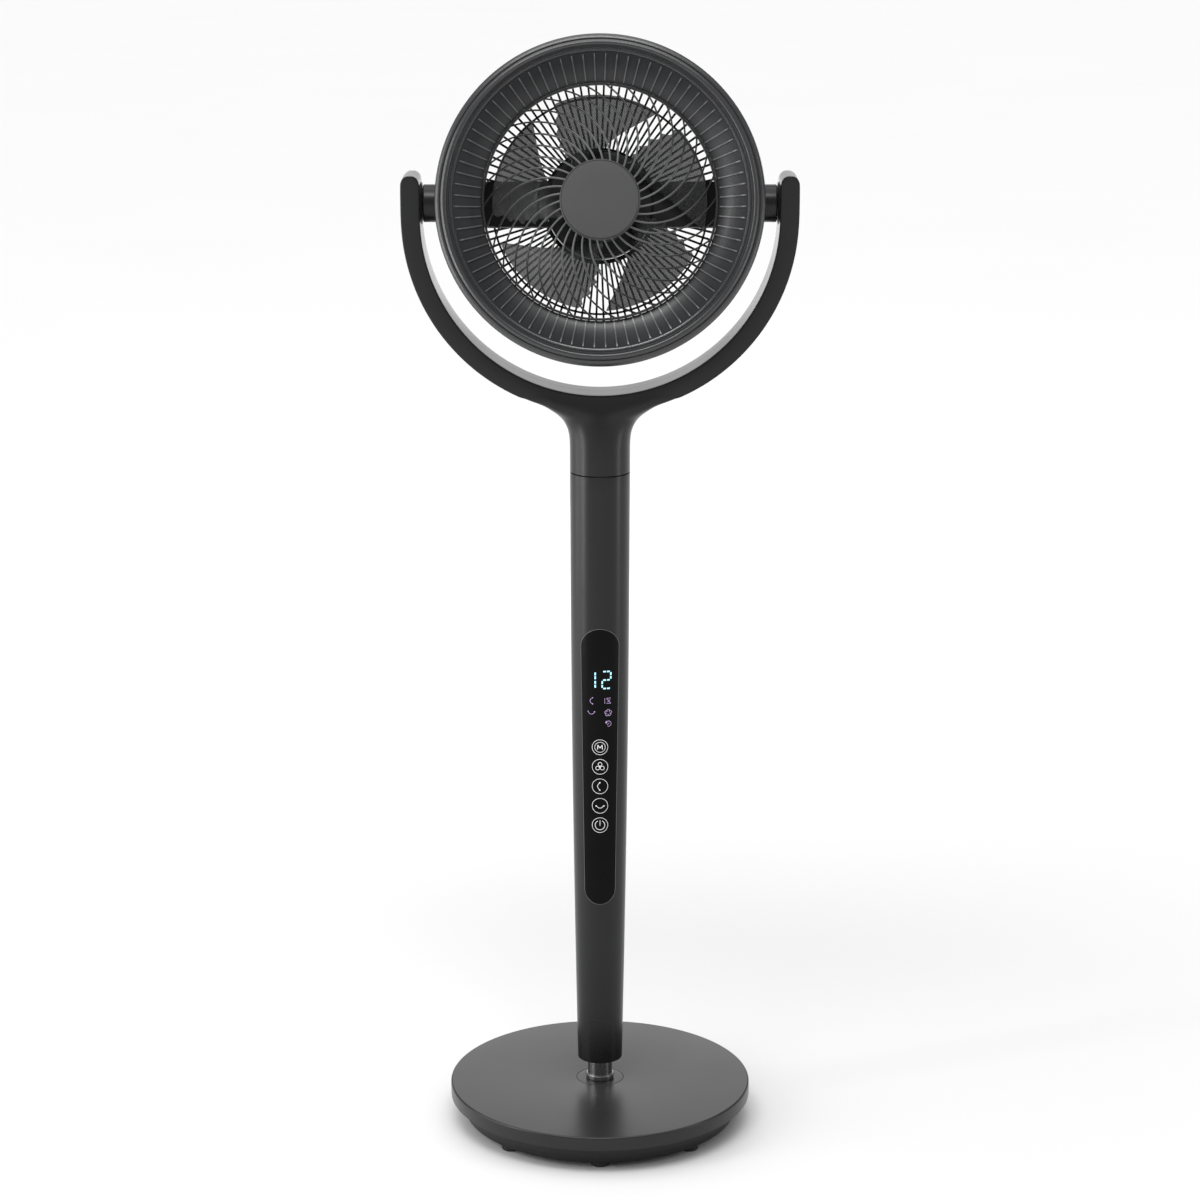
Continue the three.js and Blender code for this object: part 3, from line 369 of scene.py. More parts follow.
satinCharcoal = mouldedPlastic("satin_charcoal", (0.0105, 0.0106, 0.011), 0.29, grain=1.2,
                               grainDepth=0.002, Specular_IOR_Level=0.28)
headCharcoal = mouldedPlastic("head_charcoal", (0.026, 0.0265, 0.028), 0.27, grain=1.2,
                              grainDepth=0.0015, Specular_IOR_Level=0.6)
ribCharcoal = mouldedPlastic("dish_charcoal", (0.02, 0.0205, 0.022), 0.34, grainDepth=0.0015,
                             Specular_IOR_Level=0.4)
# painted highlight: a lighter copy of the dish's charcoal, so the dish ribs and the panel trim show as lit lines
paintedHighlightCharcoal = mouldedPlastic("charcoal_painted_highlight", (0.075, 0.077, 0.082), 0.3, grainDepth=0.003,
                          Specular_IOR_Level=0.6)
# painted light and shade: the bars' grey is lifted to look lit near the hub and fades darker towards the rim,
# where they catch less light
barGreyPaintedShade = mouldedPlastic("bar_grey_painted_shade", (0.11, 0.112, 0.115), 0.34, grainDepth=0.002,
                         Specular_IOR_Level=0.35)
paintedShadeOutwards(barGreyPaintedShade, nearRadius=40, farRadius=100, farShare=0.18)
baseCharcoal = mouldedPlastic("base_charcoal", (0.015, 0.015, 0.0153), 0.3, grain=1.6,
                              grainDepth=0.002, variation=0.02, Specular_IOR_Level=0.33)
hubGrey = mouldedPlastic("hub_grey", (0.05, 0.0502, 0.0508), 0.5, grainDepth=0.006, variation=0.03)
bladeSmoke = mouldedPlastic("blade_smoke", (0.032, 0.0324, 0.0332), 0.4, grainDepth=0.001, Alpha=0.69,
                            Specular_IOR_Level=0.3)
moulded = mouldedPlastic("black_plastic", (0.008, 0.008, 0.0085), 0.5, Specular_IOR_Level=0.3)
nylon = mouldedPlastic("white_nylon", (0.66, 0.64, 0.58), 0.45)
boardGreen = mouldedPlastic("board_green", (0.015, 0.08, 0.035), 0.35)
rubber = roughRubber("black_rubber")
panelGloss = polishedPanel("panel_gloss")
poleSteel = brushedMetal("pole_steel", (0.46, 0.46, 0.47), 0.22, (1, 1, 0.02), depth=0.001)
collarSteel = brushedMetal("collar_steel", (0.3, 0.3, 0.305), 0.3, (1, 1, 0.2), depth=0.001)
turnedSteel = brushedMetal("turned_steel", (0.55, 0.56, 0.57), 0.3, (1, 1, 0.2))
castIron = mouldedPlastic("cast_iron", (0.05, 0.045, 0.04), 0.7, grain=2.5, grainDepth=0.2)
copper = brushedMetal("copper_winding", (0.5, 0.24, 0.12), 0.4, (1, 1, 0.1))
cyanGlow = glowing("cyan_digits", (0.36, 0.72, 0.85), 1.0)
lilacGlow = glowing("lilac_status", (0.5, 0.36, 0.64), 0.35)
whiteInk = glowing("white_ink", (0.75, 0.75, 0.75), 0.25, dimShare=0.8, spotSize="inkSpots",
                   detail=2, roughness=0.5)

# Studio

studio = {
    "camera": (0, -3.048, 1.3355),
    "tilt": 75.6,
    "lens": 94.2,
    "sensorWidth": 36,
    "aim": (0, 0, 0.6),  # where the lamps point
    "floorSize": 120,
    "paperShadeNear": 0.65,         # painted shade: the paper is darker under the fan, holding back the lamps' extra light there
    "paperFar": 0.95,
    "paperShadeFade": (0.4, 3.5),   # distances from the middle, in metres
    "worldStrength": 0.34,
    "sunStrength": 2.2,
    "sunSpread": 80,
    "sunLean": (3, -2),
    "lights": [
        # name, place, size, power
        ("key_left", (-1.9, -0.3, 0.9), (2.0, 2.0), 27),
        ("strip_left", (-1.85, -0.75, 0.9), (0.12, 2.0), 9),
        ("fill_right", (2.0, -0.5, 0.9), (0.35, 2.0), 8),
        ("top_front", (-0.3, -1.2, 3.0), (1.8, 0.7), 32),
        ("backdrop", (0.0, 2.6, 1.3), (1.7, 2.4), 14),
    ],
}


def addStudio():
    cameraData = bpy.data.cameras.new("camera")
    cameraData.lens = studio["lens"]
    cameraData.sensor_width = studio["sensorWidth"]
    camera = bpy.data.objects.new("camera", cameraData)
    camera.location = studio["camera"]
    camera.rotation_euler = (math.radians(studio["tilt"]), 0, 0)
    bpy.context.scene.collection.objects.link(camera)
    bpy.context.scene.camera = camera

    bm = bmesh.new()
    bmesh.ops.create_grid(bm, x_segments=1, y_segments=1, size=studio["floorSize"] / 2)
    floor = looseObject(bm, "floor")
    material, tree, shader = startFinish("floor_paper", 0.9, Specular_IOR_Level=0.1)
    clouds = noiseOver(tree, patternSizes["floorClouds"], 2)
    paper = tinted(tree, clouds, (0.99, 0.99, 0.99), (1, 1, 1))
    # painted shade: the paper's colour is darker near the fan and fades out to the far tone
    coords = tree.nodes.new("ShaderNodeTexCoord")
    distance = vectorMath(tree, "LENGTH", coords.outputs["Object"])
    paintedShade = mapRange(tree, distance, *studio["paperShadeFade"], studio["paperShadeNear"], studio["paperFar"],
                    ease="SMOOTHSTEP")
    tree.links.new(scaledColor(tree, paper, paintedShade), shader.inputs["Base Color"])
    floor.data.materials.append(material)

    world = bpy.data.worlds.new("studio_world")
    bpy.context.scene.world = world
    world.use_nodes = True
    background = world.node_tree.nodes["Background"]
    background.inputs["Color"].default_value = (1, 1, 1, 1)
    background.inputs["Strength"].default_value = studio["worldStrength"]

    aim = Vector(studio["aim"])
    for name, place, size, power in studio["lights"]:
        lamp = bpy.data.lights.new(name, "AREA")
        lamp.shape = "RECTANGLE"
        lamp.size, lamp.size_y = size
        lamp.energy = power
        light = bpy.data.objects.new(name, lamp)
        light.location = place
        light.rotation_euler = (aim - Vector(place)).to_track_quat("-Z", "Y").to_euler()
        light.visible_camera = False
        bpy.context.scene.collection.objects.link(light)
    sun = bpy.data.lights.new("sky_panel", "SUN")
    sun.energy = studio["sunStrength"]
    sun.angle = math.radians(studio["sunSpread"])
    sunObject = bpy.data.objects.new("sky_panel", sun)
    sunObject.rotation_euler = [math.radians(lean) for lean in (*studio["sunLean"], 0)]
    bpy.context.scene.collection.objects.link(sunObject)
    bpy.context.scene.view_settings.view_transform = "Standard"


addStudio()
print("studio ready")

# Base, feet and pole

baseSizes = {
    "sides": 160,
    "fitGap": 0.3,          # round the pole and round its socket
    "coverFillet": 2.2,
    "coverWall": 2.7,
    "flangeWall": 3.2,
    "panFlare": 10.5,
    "panWall": 3,
    "panLip": 5,
    "panFillet": 2.5,
    "feet": 8,
    "footEdge": 1.2,
    "footGroove": 0.6,
    "footGrooveShares": (0.35, 0.4, 0.5, 0.55),
    "windowGap": 0.6,
    "inletEdge": 1.0,
    "inletBore": 2.9,
    "inletFloor": 3,
    "pinRadius": 1.0,
    "pinLength": 9,
    "pinFoot": 2.8,
    "screwCircle": 96,
    "screwCount": 4,
}


def panHeadScrew(radius=3.2, height=1.8):
    # a pan head with a cross recess, standing on Z = 0
    head = spun(rounded([(0, -0.5), (radius, -0.5), (radius, height, 1.4), (0, height)]), 24)
    slotDepth = height * 0.6
    for turn in (0, math.pi / 2):
        tool = box(radius * 1.15, radius * 0.3, slotDepth * 2, (0, 0, height))
        tool.transform(Matrix.Rotation(turn, 4, "Z"))
        head = combined(head, tool)
    return head


def addCover(socketLow, socketHigh):
    # the cover and the pole's socket in it; gives back the height of the cover's lower edge
    coverLow, coverHigh = nodeBox("base_cover")
    radius, top, band = coverHigh.x, coverHigh.z, coverLow.z
    wall = baseSizes["coverWall"]
    gap = baseSizes["fitGap"]
    bore = socketHigh.x + gap
    cover = spun(rounded([
        (radius, band, 0.4), (radius, top, baseSizes["coverFillet"]), (bore, top, 0.35),
        (bore, top - wall), (radius - wall, top - wall, 1.5), (radius - wall, band, 0.4),
    ], 6), baseSizes["sides"])
    addPiece("base_cover_shell", cover, "base", baseCharcoal, replaced=["base_cover"])

    socketBore = nodeBox("pole")[1].x + gap
    flangeOuter = socketBore + baseSizes["flangeWall"]
    flange = spun(rounded([
        (socketBore, socketLow.z), (flangeOuter, socketLow.z), (flangeOuter, top - wall),
        (socketHigh.x, top - wall), (socketHigh.x, top, 0.35), (socketBore, top, 0.3),
    ]))
    addPiece("pole_socket_flange", flange, "base", baseCharcoal, replaced=["pole_socket"])
    return band


def addInlet(inletLow, inletHigh):
    size = inletHigh - inletLow
    middle = (inletHigh + inletLow) / 2
    bore = baseSizes["inletBore"]
    pinRadius, pinLength = baseSizes["pinRadius"], baseSizes["pinLength"]
    backwards = Matrix.Rotation(-math.pi / 2, 4, "X")
    socket = box(*size, middle, baseSizes["inletEdge"])
    hole = spun([(0, 0), (bore, 0), (bore, size.y), (0, size.y)], 40)
    hole.transform(Matrix.Translation((0, inletLow.y + baseSizes["inletFloor"], middle.z)) @ backwards)
    pin = spun(rounded([(0, 0), (pinRadius, 0), (pinRadius, pinLength, 0.6), (0, pinLength)]), 20)
    pin.transform(Matrix.Translation((0, inletLow.y + baseSizes["pinFoot"], middle.z)) @ backwards)
    addPiece("power_inlet_socket", combined(socket, hole), "base", moulded,
             replaced=["power_inlet"])
    addPiece("power_inlet_pin", pin, "base", turnedSteel)


def addFeet():
    groove = baseSizes["footGroove"]
    for i in range(1, baseSizes["feet"] + 1):
        low, high = nodeBox(f"foot_{i}")
        width = (high.x - low.x) / 2
        inner, innerTop, outerTop, outer = [width * share for share in baseSizes["footGrooveShares"]]
        pad = spun(rounded([
            (0, 0), (inner, 0), (innerTop, groove), (outerTop, groove), (outer, 0),
            (width, 0, baseSizes["footEdge"]), (width, high.z, 0.5), (0, high.z),
        ]), 48)
        middle = (low + high) / 2
        pad.transform(Matrix.Translation((middle.x, middle.y, 0)))
        addPiece(f"foot_pad_{i}", pad, "base", rubber, replaced=[f"foot_{i}"])


def addBase():
    band = addCover(*nodeBox("pole_socket"))
    panLow, panHigh = nodeBox("base_pan")
    rim = panHigh.x
    foot = rim - baseSizes["panFlare"]
    wall = baseSizes["panWall"]
    lip = band + baseSizes["panLip"]
    floorTop = panLow.z + wall
    opening = min(vertex.co.xy.length for vertex in nodes["base_pan"].data.vertices) / mm
    pan = spun(rounded([
        (opening, panLow.z, 0.5), (foot, panLow.z, baseSizes["panFillet"]), (rim, band, 1.0),
        (rim, lip), (rim - wall, lip), (rim - wall, band, 1.0), (foot - wall, floorTop, 1.5),
        (opening, floorTop, 0.5),
    ]), baseSizes["sides"])
    inletLow, inletHigh = nodeBox("power_inlet")
    size = inletHigh - inletLow
    gap = baseSizes["windowGap"]
    window = box(size.x + gap, size.y * 2, size.z + gap,
                 (inletHigh + inletLow) / 2 + Vector((0, size.y / 2, 0)))
    pan = combined(pan, window)
    addPiece("base_pan_tray", pan, "base", moulded, replaced=["base_pan"])
    addInlet(inletLow, inletHigh)
    addFeet()

    screw = panHeadScrew()
    screw.transform(Matrix.Translation((baseSizes["screwCircle"], 0, 0)))
    ringOfCopies(screw, baseSizes["screwCount"])
    screw.transform(Matrix.Translation((0, 0, panLow.z)) @ Matrix.Rotation(math.pi, 4, "X"))
    addPiece("base_screws", screw, "base", turnedSteel)


poleSizes = {
    "wall": 1.2,
    "collarGap": 0.3,
    "collarGroove": 0.4,
    "grooveHalfWidth": 0.5,
    "grooveFloorHalfWidth": 0.3,
}


def addPole():
    low, high = nodeBox("pole")
    radius = high.x
    bore = radius - poleSizes["wall"]
    tube = spun(rounded([(radius, low.z, 0.4), (radius, high.z, 0.4), (bore, high.z), (bore, low.z)]))
    addPiece("pole_tube", tube, "base", poleSteel, replaced=["pole"])
    low, high = nodeBox("pole_collar")
    outer = high.x
    inner = radius + poleSizes["collarGap"]
    grooveFloor = outer - poleSizes["collarGroove"]
    middle = (low.z + high.z) / 2
    half, halfFloor = poleSizes["grooveHalfWidth"], poleSizes["grooveFloorHalfWidth"]
    collar = spun(rounded([
        (inner, low.z), (outer, low.z, 0.4), (outer, middle - half), (grooveFloor, middle - halfFloor),
        (grooveFloor, middle + halfFloor), (outer, middle + half), (outer, high.z, 0.7), (inner, high.z),
    ]))
    addPiece("pole_collar_ring", collar, "base", collarSteel, replaced=["pole_collar"])


addBase()
addPole()
print("base and pole made")

# Column and touch panel

columnSizes = {
    "bottomRadius": 22.8,
    "taperPower": 1.9,
    "wall": 2.5,
    "stations": 36,
    "sides": 128,
    "edge": 0.5,
    "panelGap": 0.3,
    "panelRecess": 0.4,
    "panelThickness": 2.0,
    "panelBottomHalfWidth": 15.35,
    "outlineSteps": 64,
    "trimRadius": 0.3,
    "trimSunk": 0.1,
    "trimStep": 6,
    "skinReach": 5,         # the panel's skin before it is cut goes this far past the panel
    "skinStations": 20,
    "skinTurn": (-150, 120),  # where it starts and how far it turns, in degrees
}
columnLow, columnHigh = nodeBox("column_shell")
panelLow, panelHigh = nodeBox("touch_panel")
upright = Matrix.Rotation(math.pi / 2, 4, "X")


def columnRadius(z):
    drop = min(max((seamZ - z) / (seamZ - columnLow.z), 0), 1)
    taper = columnHigh.x - columnSizes["bottomRadius"]
    return columnHigh.x - taper * drop ** columnSizes["taperPower"]


def columnWallProfile(outerInset, innerInset, bottom, top, stations, edge=0.0):
    heights = [blendValue(bottom, top, i / stations) for i in range(stations + 1)]
    outside = [(columnRadius(z) - outerInset, z) for z in heights]
    inside = [(columnRadius(z) - innerInset, z) for z in reversed(heights)]
    if edge:
        outside[0] = (*outside[0], edge)
        outside[-1] = (*outside[-1], edge)
    return rounded(outside + inside)


def panelOutline(margin):
    # a closed edge loop in the XZ plane: a half circle above, a slightly smaller one below
    bm = bmesh.new()
    bmesh.ops.create_circle(bm, cap_ends=True, radius=1, segments=columnSizes["outlineSteps"],
                            matrix=upright)
    topHalf = panelHigh.x
    bottomHalf = columnSizes["panelBottomHalfWidth"]
    for vert in bm.verts:
        upper = vert.co.z > -0.001
        half = (topHalf if upper else bottomHalf) + margin
        middle = panelHigh.z - topHalf if upper else panelLow.z + bottomHalf
        vert.co = Vector((vert.co.x * half, 0, middle + vert.co.z * half))
    return bm


def panelPrism(margin):
    bm = panelOutline(margin)
    moved = bmesh.ops.extrude_face_region(bm, geom=bm.faces[:])["geom"]
    bmesh.ops.translate(bm, vec=(0, -2 * columnHigh.x, 0), verts=vertsIn(moved))
    bmesh.ops.recalc_face_normals(bm, faces=bm.faces)
    return bm


def onColumn(x, z, lift):
    # the front of the column at this place, as a depth
    return -math.sqrt(max((columnRadius(z) + lift) ** 2 - x * x, 1))


def addColumn():
    sizes = columnSizes
    profile = columnWallProfile(0, sizes["wall"], columnLow.z, columnHigh.z, sizes["stations"],
                                sizes["edge"])
    shell = combined(spun(profile, sizes["sides"]), panelPrism(sizes["panelGap"]))
    addPiece("column_shell_fine", shell, "base", satinCharcoal, replaced=["column_shell"])

    recess = sizes["panelRecess"]
    bottom, top = panelLow.z - sizes["skinReach"], panelHigh.z + sizes["skinReach"]
    profile = columnWallProfile(recess, recess + sizes["panelThickness"], bottom, top, sizes["skinStations"])
    start, turn = [math.radians(angle) for angle in sizes["skinTurn"]]
    skin = spun(profile, 64, turn=turn, start=start)
    panel = combined(skin, panelPrism(0), "INTERSECT")
    addPiece("touch_panel_glass", panel, "base", panelGloss, replaced=["touch_panel"])


def addTrim():
    # a fine bead round the panel, run as a curve along its outline
    outline = panelOutline(columnSizes["panelGap"] / 2)
    outline.faces.ensure_lookup_table()
    corners = [vert.co.copy() for vert in outline.faces[0].verts]
    outline.free()
    path = []
    for start, end in zip(corners, corners[1:] + corners[:1]):
        pieces = max(1, round((end - start).length / columnSizes["trimStep"]))
        path += [start.lerp(end, step / pieces) for step in range(pieces)]
    curve = bpy.data.curves.new("trim", "CURVE")
    curve.dimensions = "3D"
    curve.bevel_depth = columnSizes["trimRadius"]
    curve.bevel_resolution = 1
    spline = curve.splines.new("POLY")
    spline.points.add(len(path) - 1)
    for point, place in zip(spline.points, path):
        point.co = (place.x, onColumn(place.x, place.z, -columnSizes["trimSunk"]), place.z, 1)
    spline.use_cyclic_u = True
    trimObject = bpy.data.objects.new("trim", curve)
    bpy.context.scene.collection.objects.link(trimObject)
    bpy.context.view_layer.update()
    evaluated = trimObject.evaluated_get(bpy.context.evaluated_depsgraph_get())
    mesh = bpy.data.meshes.new_from_object(evaluated)
    bpy.data.objects.remove(trimObject)
    trim = bmesh.new()
    trim.from_mesh(mesh)
    bpy.data.meshes.remove(mesh)
    addPiece("panel_trim", trim, "base", paintedHighlightCharcoal)


markSizes = {
    "inkLift": 0.02,
    "inkThickness": 0.12,
    "statusLine": 0.38,
    "touchLine": 0.55,
    "ringLine": 0.42,
    "letterLine": 0.75,
    "touchRing": 7.9,
    "modeRing": 5.3,
    "touchRow": [407.2, 386.6, 365.9, 345.2, 324.6],
    "statusLeft": (-8.7, [455.7, 444.8]),    # across, and the heights of its signs
    "statusRight": (8.2, [455.8, 443.2, 431.7]),
    "flower": (5, 2.1, 1.5),    # petals, their distance from the middle, their radius
    "flowerOpening": 100,
    "speedRings": (3, 2.7, 1.944),
    "speedDot": 0.605,
}


# Flat marks are drawn in the XZ plane, then laid on the panel.
def bar(bm, x0, z0, x1, z1, width):
    length = math.hypot(x1 - x0, z1 - z0)
    turn = math.atan2(z1 - z0, x1 - x0)
    cuts = max(1, round(length / 2))
    place = (Matrix.Translation(((x0 + x1) / 2, 0, (z0 + z1) / 2)) @ Matrix.Rotation(-turn, 4, "Y")
             @ upright @ Matrix.Diagonal((length / 2, width / 2, 1, 1)))
    bmesh.ops.create_grid(bm, x_segments=cuts, y_segments=1, size=1, matrix=place)


def arc(bm, x, z, radius, width, start, end, steps):
    inner = bm.verts.new((x + radius - width / 2, 0, z))
    outer = bm.verts.new((x + radius + width / 2, 0, z))
    edge = bm.edges.new((inner, outer))
    turnToStart = Matrix.Rotation(-math.radians(start), 3, "Y")
    bmesh.ops.rotate(bm, verts=[inner, outer], cent=(x, 0, z), matrix=turnToStart)
    bmesh.ops.spin(bm, geom=[inner, outer, edge], cent=(x, 0, z), axis=(0, -1, 0),
                   angle=math.radians(end - start), steps=steps)


def dot(bm, x, z, radius):
    place = Matrix.Translation((x, 0, z)) @ upright
    bmesh.ops.create_circle(bm, cap_ends=True, radius=radius, segments=12, matrix=place)


def layOnPanel(bm):
    bmesh.ops.remove_doubles(bm, verts=bm.verts, dist=0.002)
    bmesh.ops.recalc_face_normals(bm, faces=bm.faces)
    for face in bm.faces:
        if face.normal.y > 0:
            face.normal_flip()
    moved = bmesh.ops.extrude_face_region(bm, geom=bm.faces[:])["geom"]
    bmesh.ops.translate(bm, vec=(0, -markSizes["inkThickness"], 0), verts=vertsIn(moved))
    lift = markSizes["inkLift"] - columnSizes["panelRecess"]
    for vert in bm.verts:
        vert.co.y += onColumn(vert.co.x, vert.co.z, lift)
    return bm


digitSizes = {
    "z": 477.5,
    "height": 17.6,
    "width": 8.6,
    "stroke": 1.5,
    "gap": 0.5,
    "oneX": -4.8,
    "twoX": 2.2,
}
# segments of a digit as (x0, z0, x1, z1), in shares of its width and half height
digitSegments = {
    "top": (0, 1, 1, 1),
    "upperRight": (1, 0, 1, 1),
    "middle": (0, 0, 1, 0),
    "lowerLeft": (0, -1, 0, 0),
    "lowerRight": (1, -1, 1, 0),
    "bottom": (0, -1, 1, -1),
}


def addDigit(bm, x, names):
    # each segment is two bars with a gap at its ends and its middle
    width = digitSizes["width"]
    half = digitSizes["height"] / 2
    gap = digitSizes["gap"]
    for name in names:
        x0, z0, x1, z1 = digitSegments[name]
        start = Vector((x + x0 * width, digitSizes["z"] + z0 * half))
        end = Vector((x + x1 * width, digitSizes["z"] + z1 * half))
        along = (end - start).normalized()
        middle = (start + end) / 2
        lowerPart = (start + along * 2 * gap, middle - along * gap)
        upperPart = (middle + along * gap, end - along * 2 * gap)
        for first, last in (lowerPart, upperPart):
            bar(bm, first.x, first.y, last.x, last.y, digitSizes["stroke"])


# Signs, each about its own middle: arcs are (x, z, radius, start, end, steps), dots (x, z, radius),
# bars (x0, z0, x1, z1).
swingTall = {"arcs": [(1.6, 0, 2.9, 115, 245, 16)], "dots": [(1.2, 3.2, 0.55), (1.2, -3.2, 0.55)]}
swingWide = {"arcs": [(0, 0, 3.1, 205, 335, 16)], "dots": [(-3.2, -0.4, 0.55), (3.2, -0.4, 0.55)]}
modeMark = {"bars": [(-3.4, -2.8, -3.4, 2.8), (-1.6, 2.6, 2.6, 2.6), (-1.4, 2.2, 2.2, -2.4),
                     (-1.6, -2.8, 2.6, -2.8), (1.8, 1.0, -0.8, -1.4)]}
timerMark = {"arcs": [(0, 0, 2.9, -100, 130, 16)], "dots": [(-1.9, 1.5, 1.0)],
             "bars": [(-1.2, -1.3, 1.2, 1.1)]}
touchTall = {"arcs": [(1.2, 0, 3.6, 115, 245, 16)], "dots": [(-0.2, 4.0, 0.7), (-0.2, -4.0, 0.7)]}
touchWide = {"arcs": [(0, 1.2, 3.6, 205, 335, 16)], "dots": [(-4.0, -0.2, 0.7), (4.0, -0.2, 0.7)]}
powerMark = {"arcs": [(0, 0, 4.9, 115, 425, 28)], "bars": [(0, -0.6, 0, 5.2)]}
letterM = [(-2.4, -2.2, -2.2, 2.4), (-2.2, 2.2, 0, -0.8), (0, -0.8, 2.2, 2.2), (2.2, 2.4, 2.4, -2.2)]


def addSign(bm, x, z, line, arcs=(), dots=(), bars=()):
    for atX, atZ, radius, start, end, steps in arcs:
        arc(bm, x + atX, z + atZ, radius, line, start, end, steps)
    for atX, atZ, radius in dots:
        dot(bm, x + atX, z + atZ, radius)
    for x0, z0, x1, z1 in bars:
        bar(bm, x + x0, z + z0, x + x1, z + z1, line)


def addPetals(bm, x, z, line, petals, opening, steps):
    # rings round a middle, each with an opening towards it, in degrees
    count, distance, radius = petals
    for i in range(count):
        turn = 90 + 360 / count * i
        spot = Vector((math.cos(math.radians(turn)), math.sin(math.radians(turn)))) * distance
        start = turn - 180 + opening / 2 if opening else 0
        arc(bm, x + spot.x, z + spot.y, radius, line, start, start + 360 - opening, steps)


def addMarks():
    digits = bmesh.new()
    addDigit(digits, digitSizes["oneX"] - digitSizes["width"], ["upperRight", "lowerRight"])
    addDigit(digits, digitSizes["twoX"], ["top", "upperRight", "middle", "lowerLeft", "bottom"])
    addPiece("display_digits", layOnPanel(digits), "base", cyanGlow)

    status = bmesh.new()
    line = markSizes["statusLine"]
    left, (tallZ, wideZ) = markSizes["statusLeft"]
    right, (modeZ, flowerZ, timerZ) = markSizes["statusRight"]
    addSign(status, left, tallZ, line, **swingTall)
    addSign(status, left, wideZ, line, **swingWide)
    addSign(status, right, modeZ, line, **modeMark)
    addPetals(status, right, flowerZ, line, markSizes["flower"], markSizes["flowerOpening"], 10)
    addSign(status, right, timerZ, line, **timerMark)
    addPiece("status_marks", layOnPanel(status), "base", lilacGlow)

    touch = bmesh.new()
    line = markSizes["touchLine"]
    row = markSizes["touchRow"]
    for z in row:
        arc(touch, 0, z, markSizes["touchRing"], markSizes["ringLine"], 0, 360, 40)
    arc(touch, 0, row[0], markSizes["modeRing"], markSizes["ringLine"], 0, 360, 28)
    addSign(touch, 0, row[0], markSizes["letterLine"], bars=letterM)
    addPetals(touch, 0, row[1], line, markSizes["speedRings"], 0, 20)
    dot(touch, 0, row[1], markSizes["speedDot"])
    addSign(touch, 0, row[2], line, **touchTall)
    addSign(touch, 0, row[3], line, **touchWide)
    addSign(touch, 0, row[4], line, **powerMark)
    addPiece("touch_marks", layOnPanel(touch), "base", whiteInk)


addColumn()
addTrim()
addMarks()
print("column and panel made")

# Yoke

yokeSizes = {
    "depth": 50,
    "thickness": 18.8,
    "arcCentreDrop": 11.6,  # below the tilt axis
    "bulge": 0.9,           # how far the flat faces swell
    "sideBulge": 0.3,
    "arcSteps": 32,
    "tipDrop": 1.5,
    "tip": [(0.34, 0.95), (0.37, 0.74), (0.22, 0.4), (0.07, 0.13)],  # climb and width of its rings
    "neckStations": 3,      # arc steps to each side of the middle that the neck takes
    "crease": 0.62,
    "creaseFade": (1.4, 0.5),  # how far past the neck the corners are softer, and how much
    "wall": 2.5,
    "splitGap": 0.3,
    "tongueWidth": 4,
    "tongueInset": 0.9,
    "tongueThickness": 1.0,
    "levels": 3,
    "collarRadius": 19.6,
    "collarBore": 11,
    "collarDepth": 2.0,
    "collarFillet": 1.2,
    # height above the seam, half width, half depth
    "neck": [(0.5, 29.75, 29.75), (3, 29.75, 29.75), (18, 29.75, 29.75), (31, 29.8, 29.6),
             (41, 31.0, 29.0), (49, 34.4, 28.4), (56, 39.5, 27.8)],
    "throatSwell": 1.09,    # where the neck meets the arc
}


def smoothShrink(sides):
    # how far a ring of this many sides draws in when it is smoothed
    return (4 + 2 * math.cos(2 * math.pi / sides)) / 6


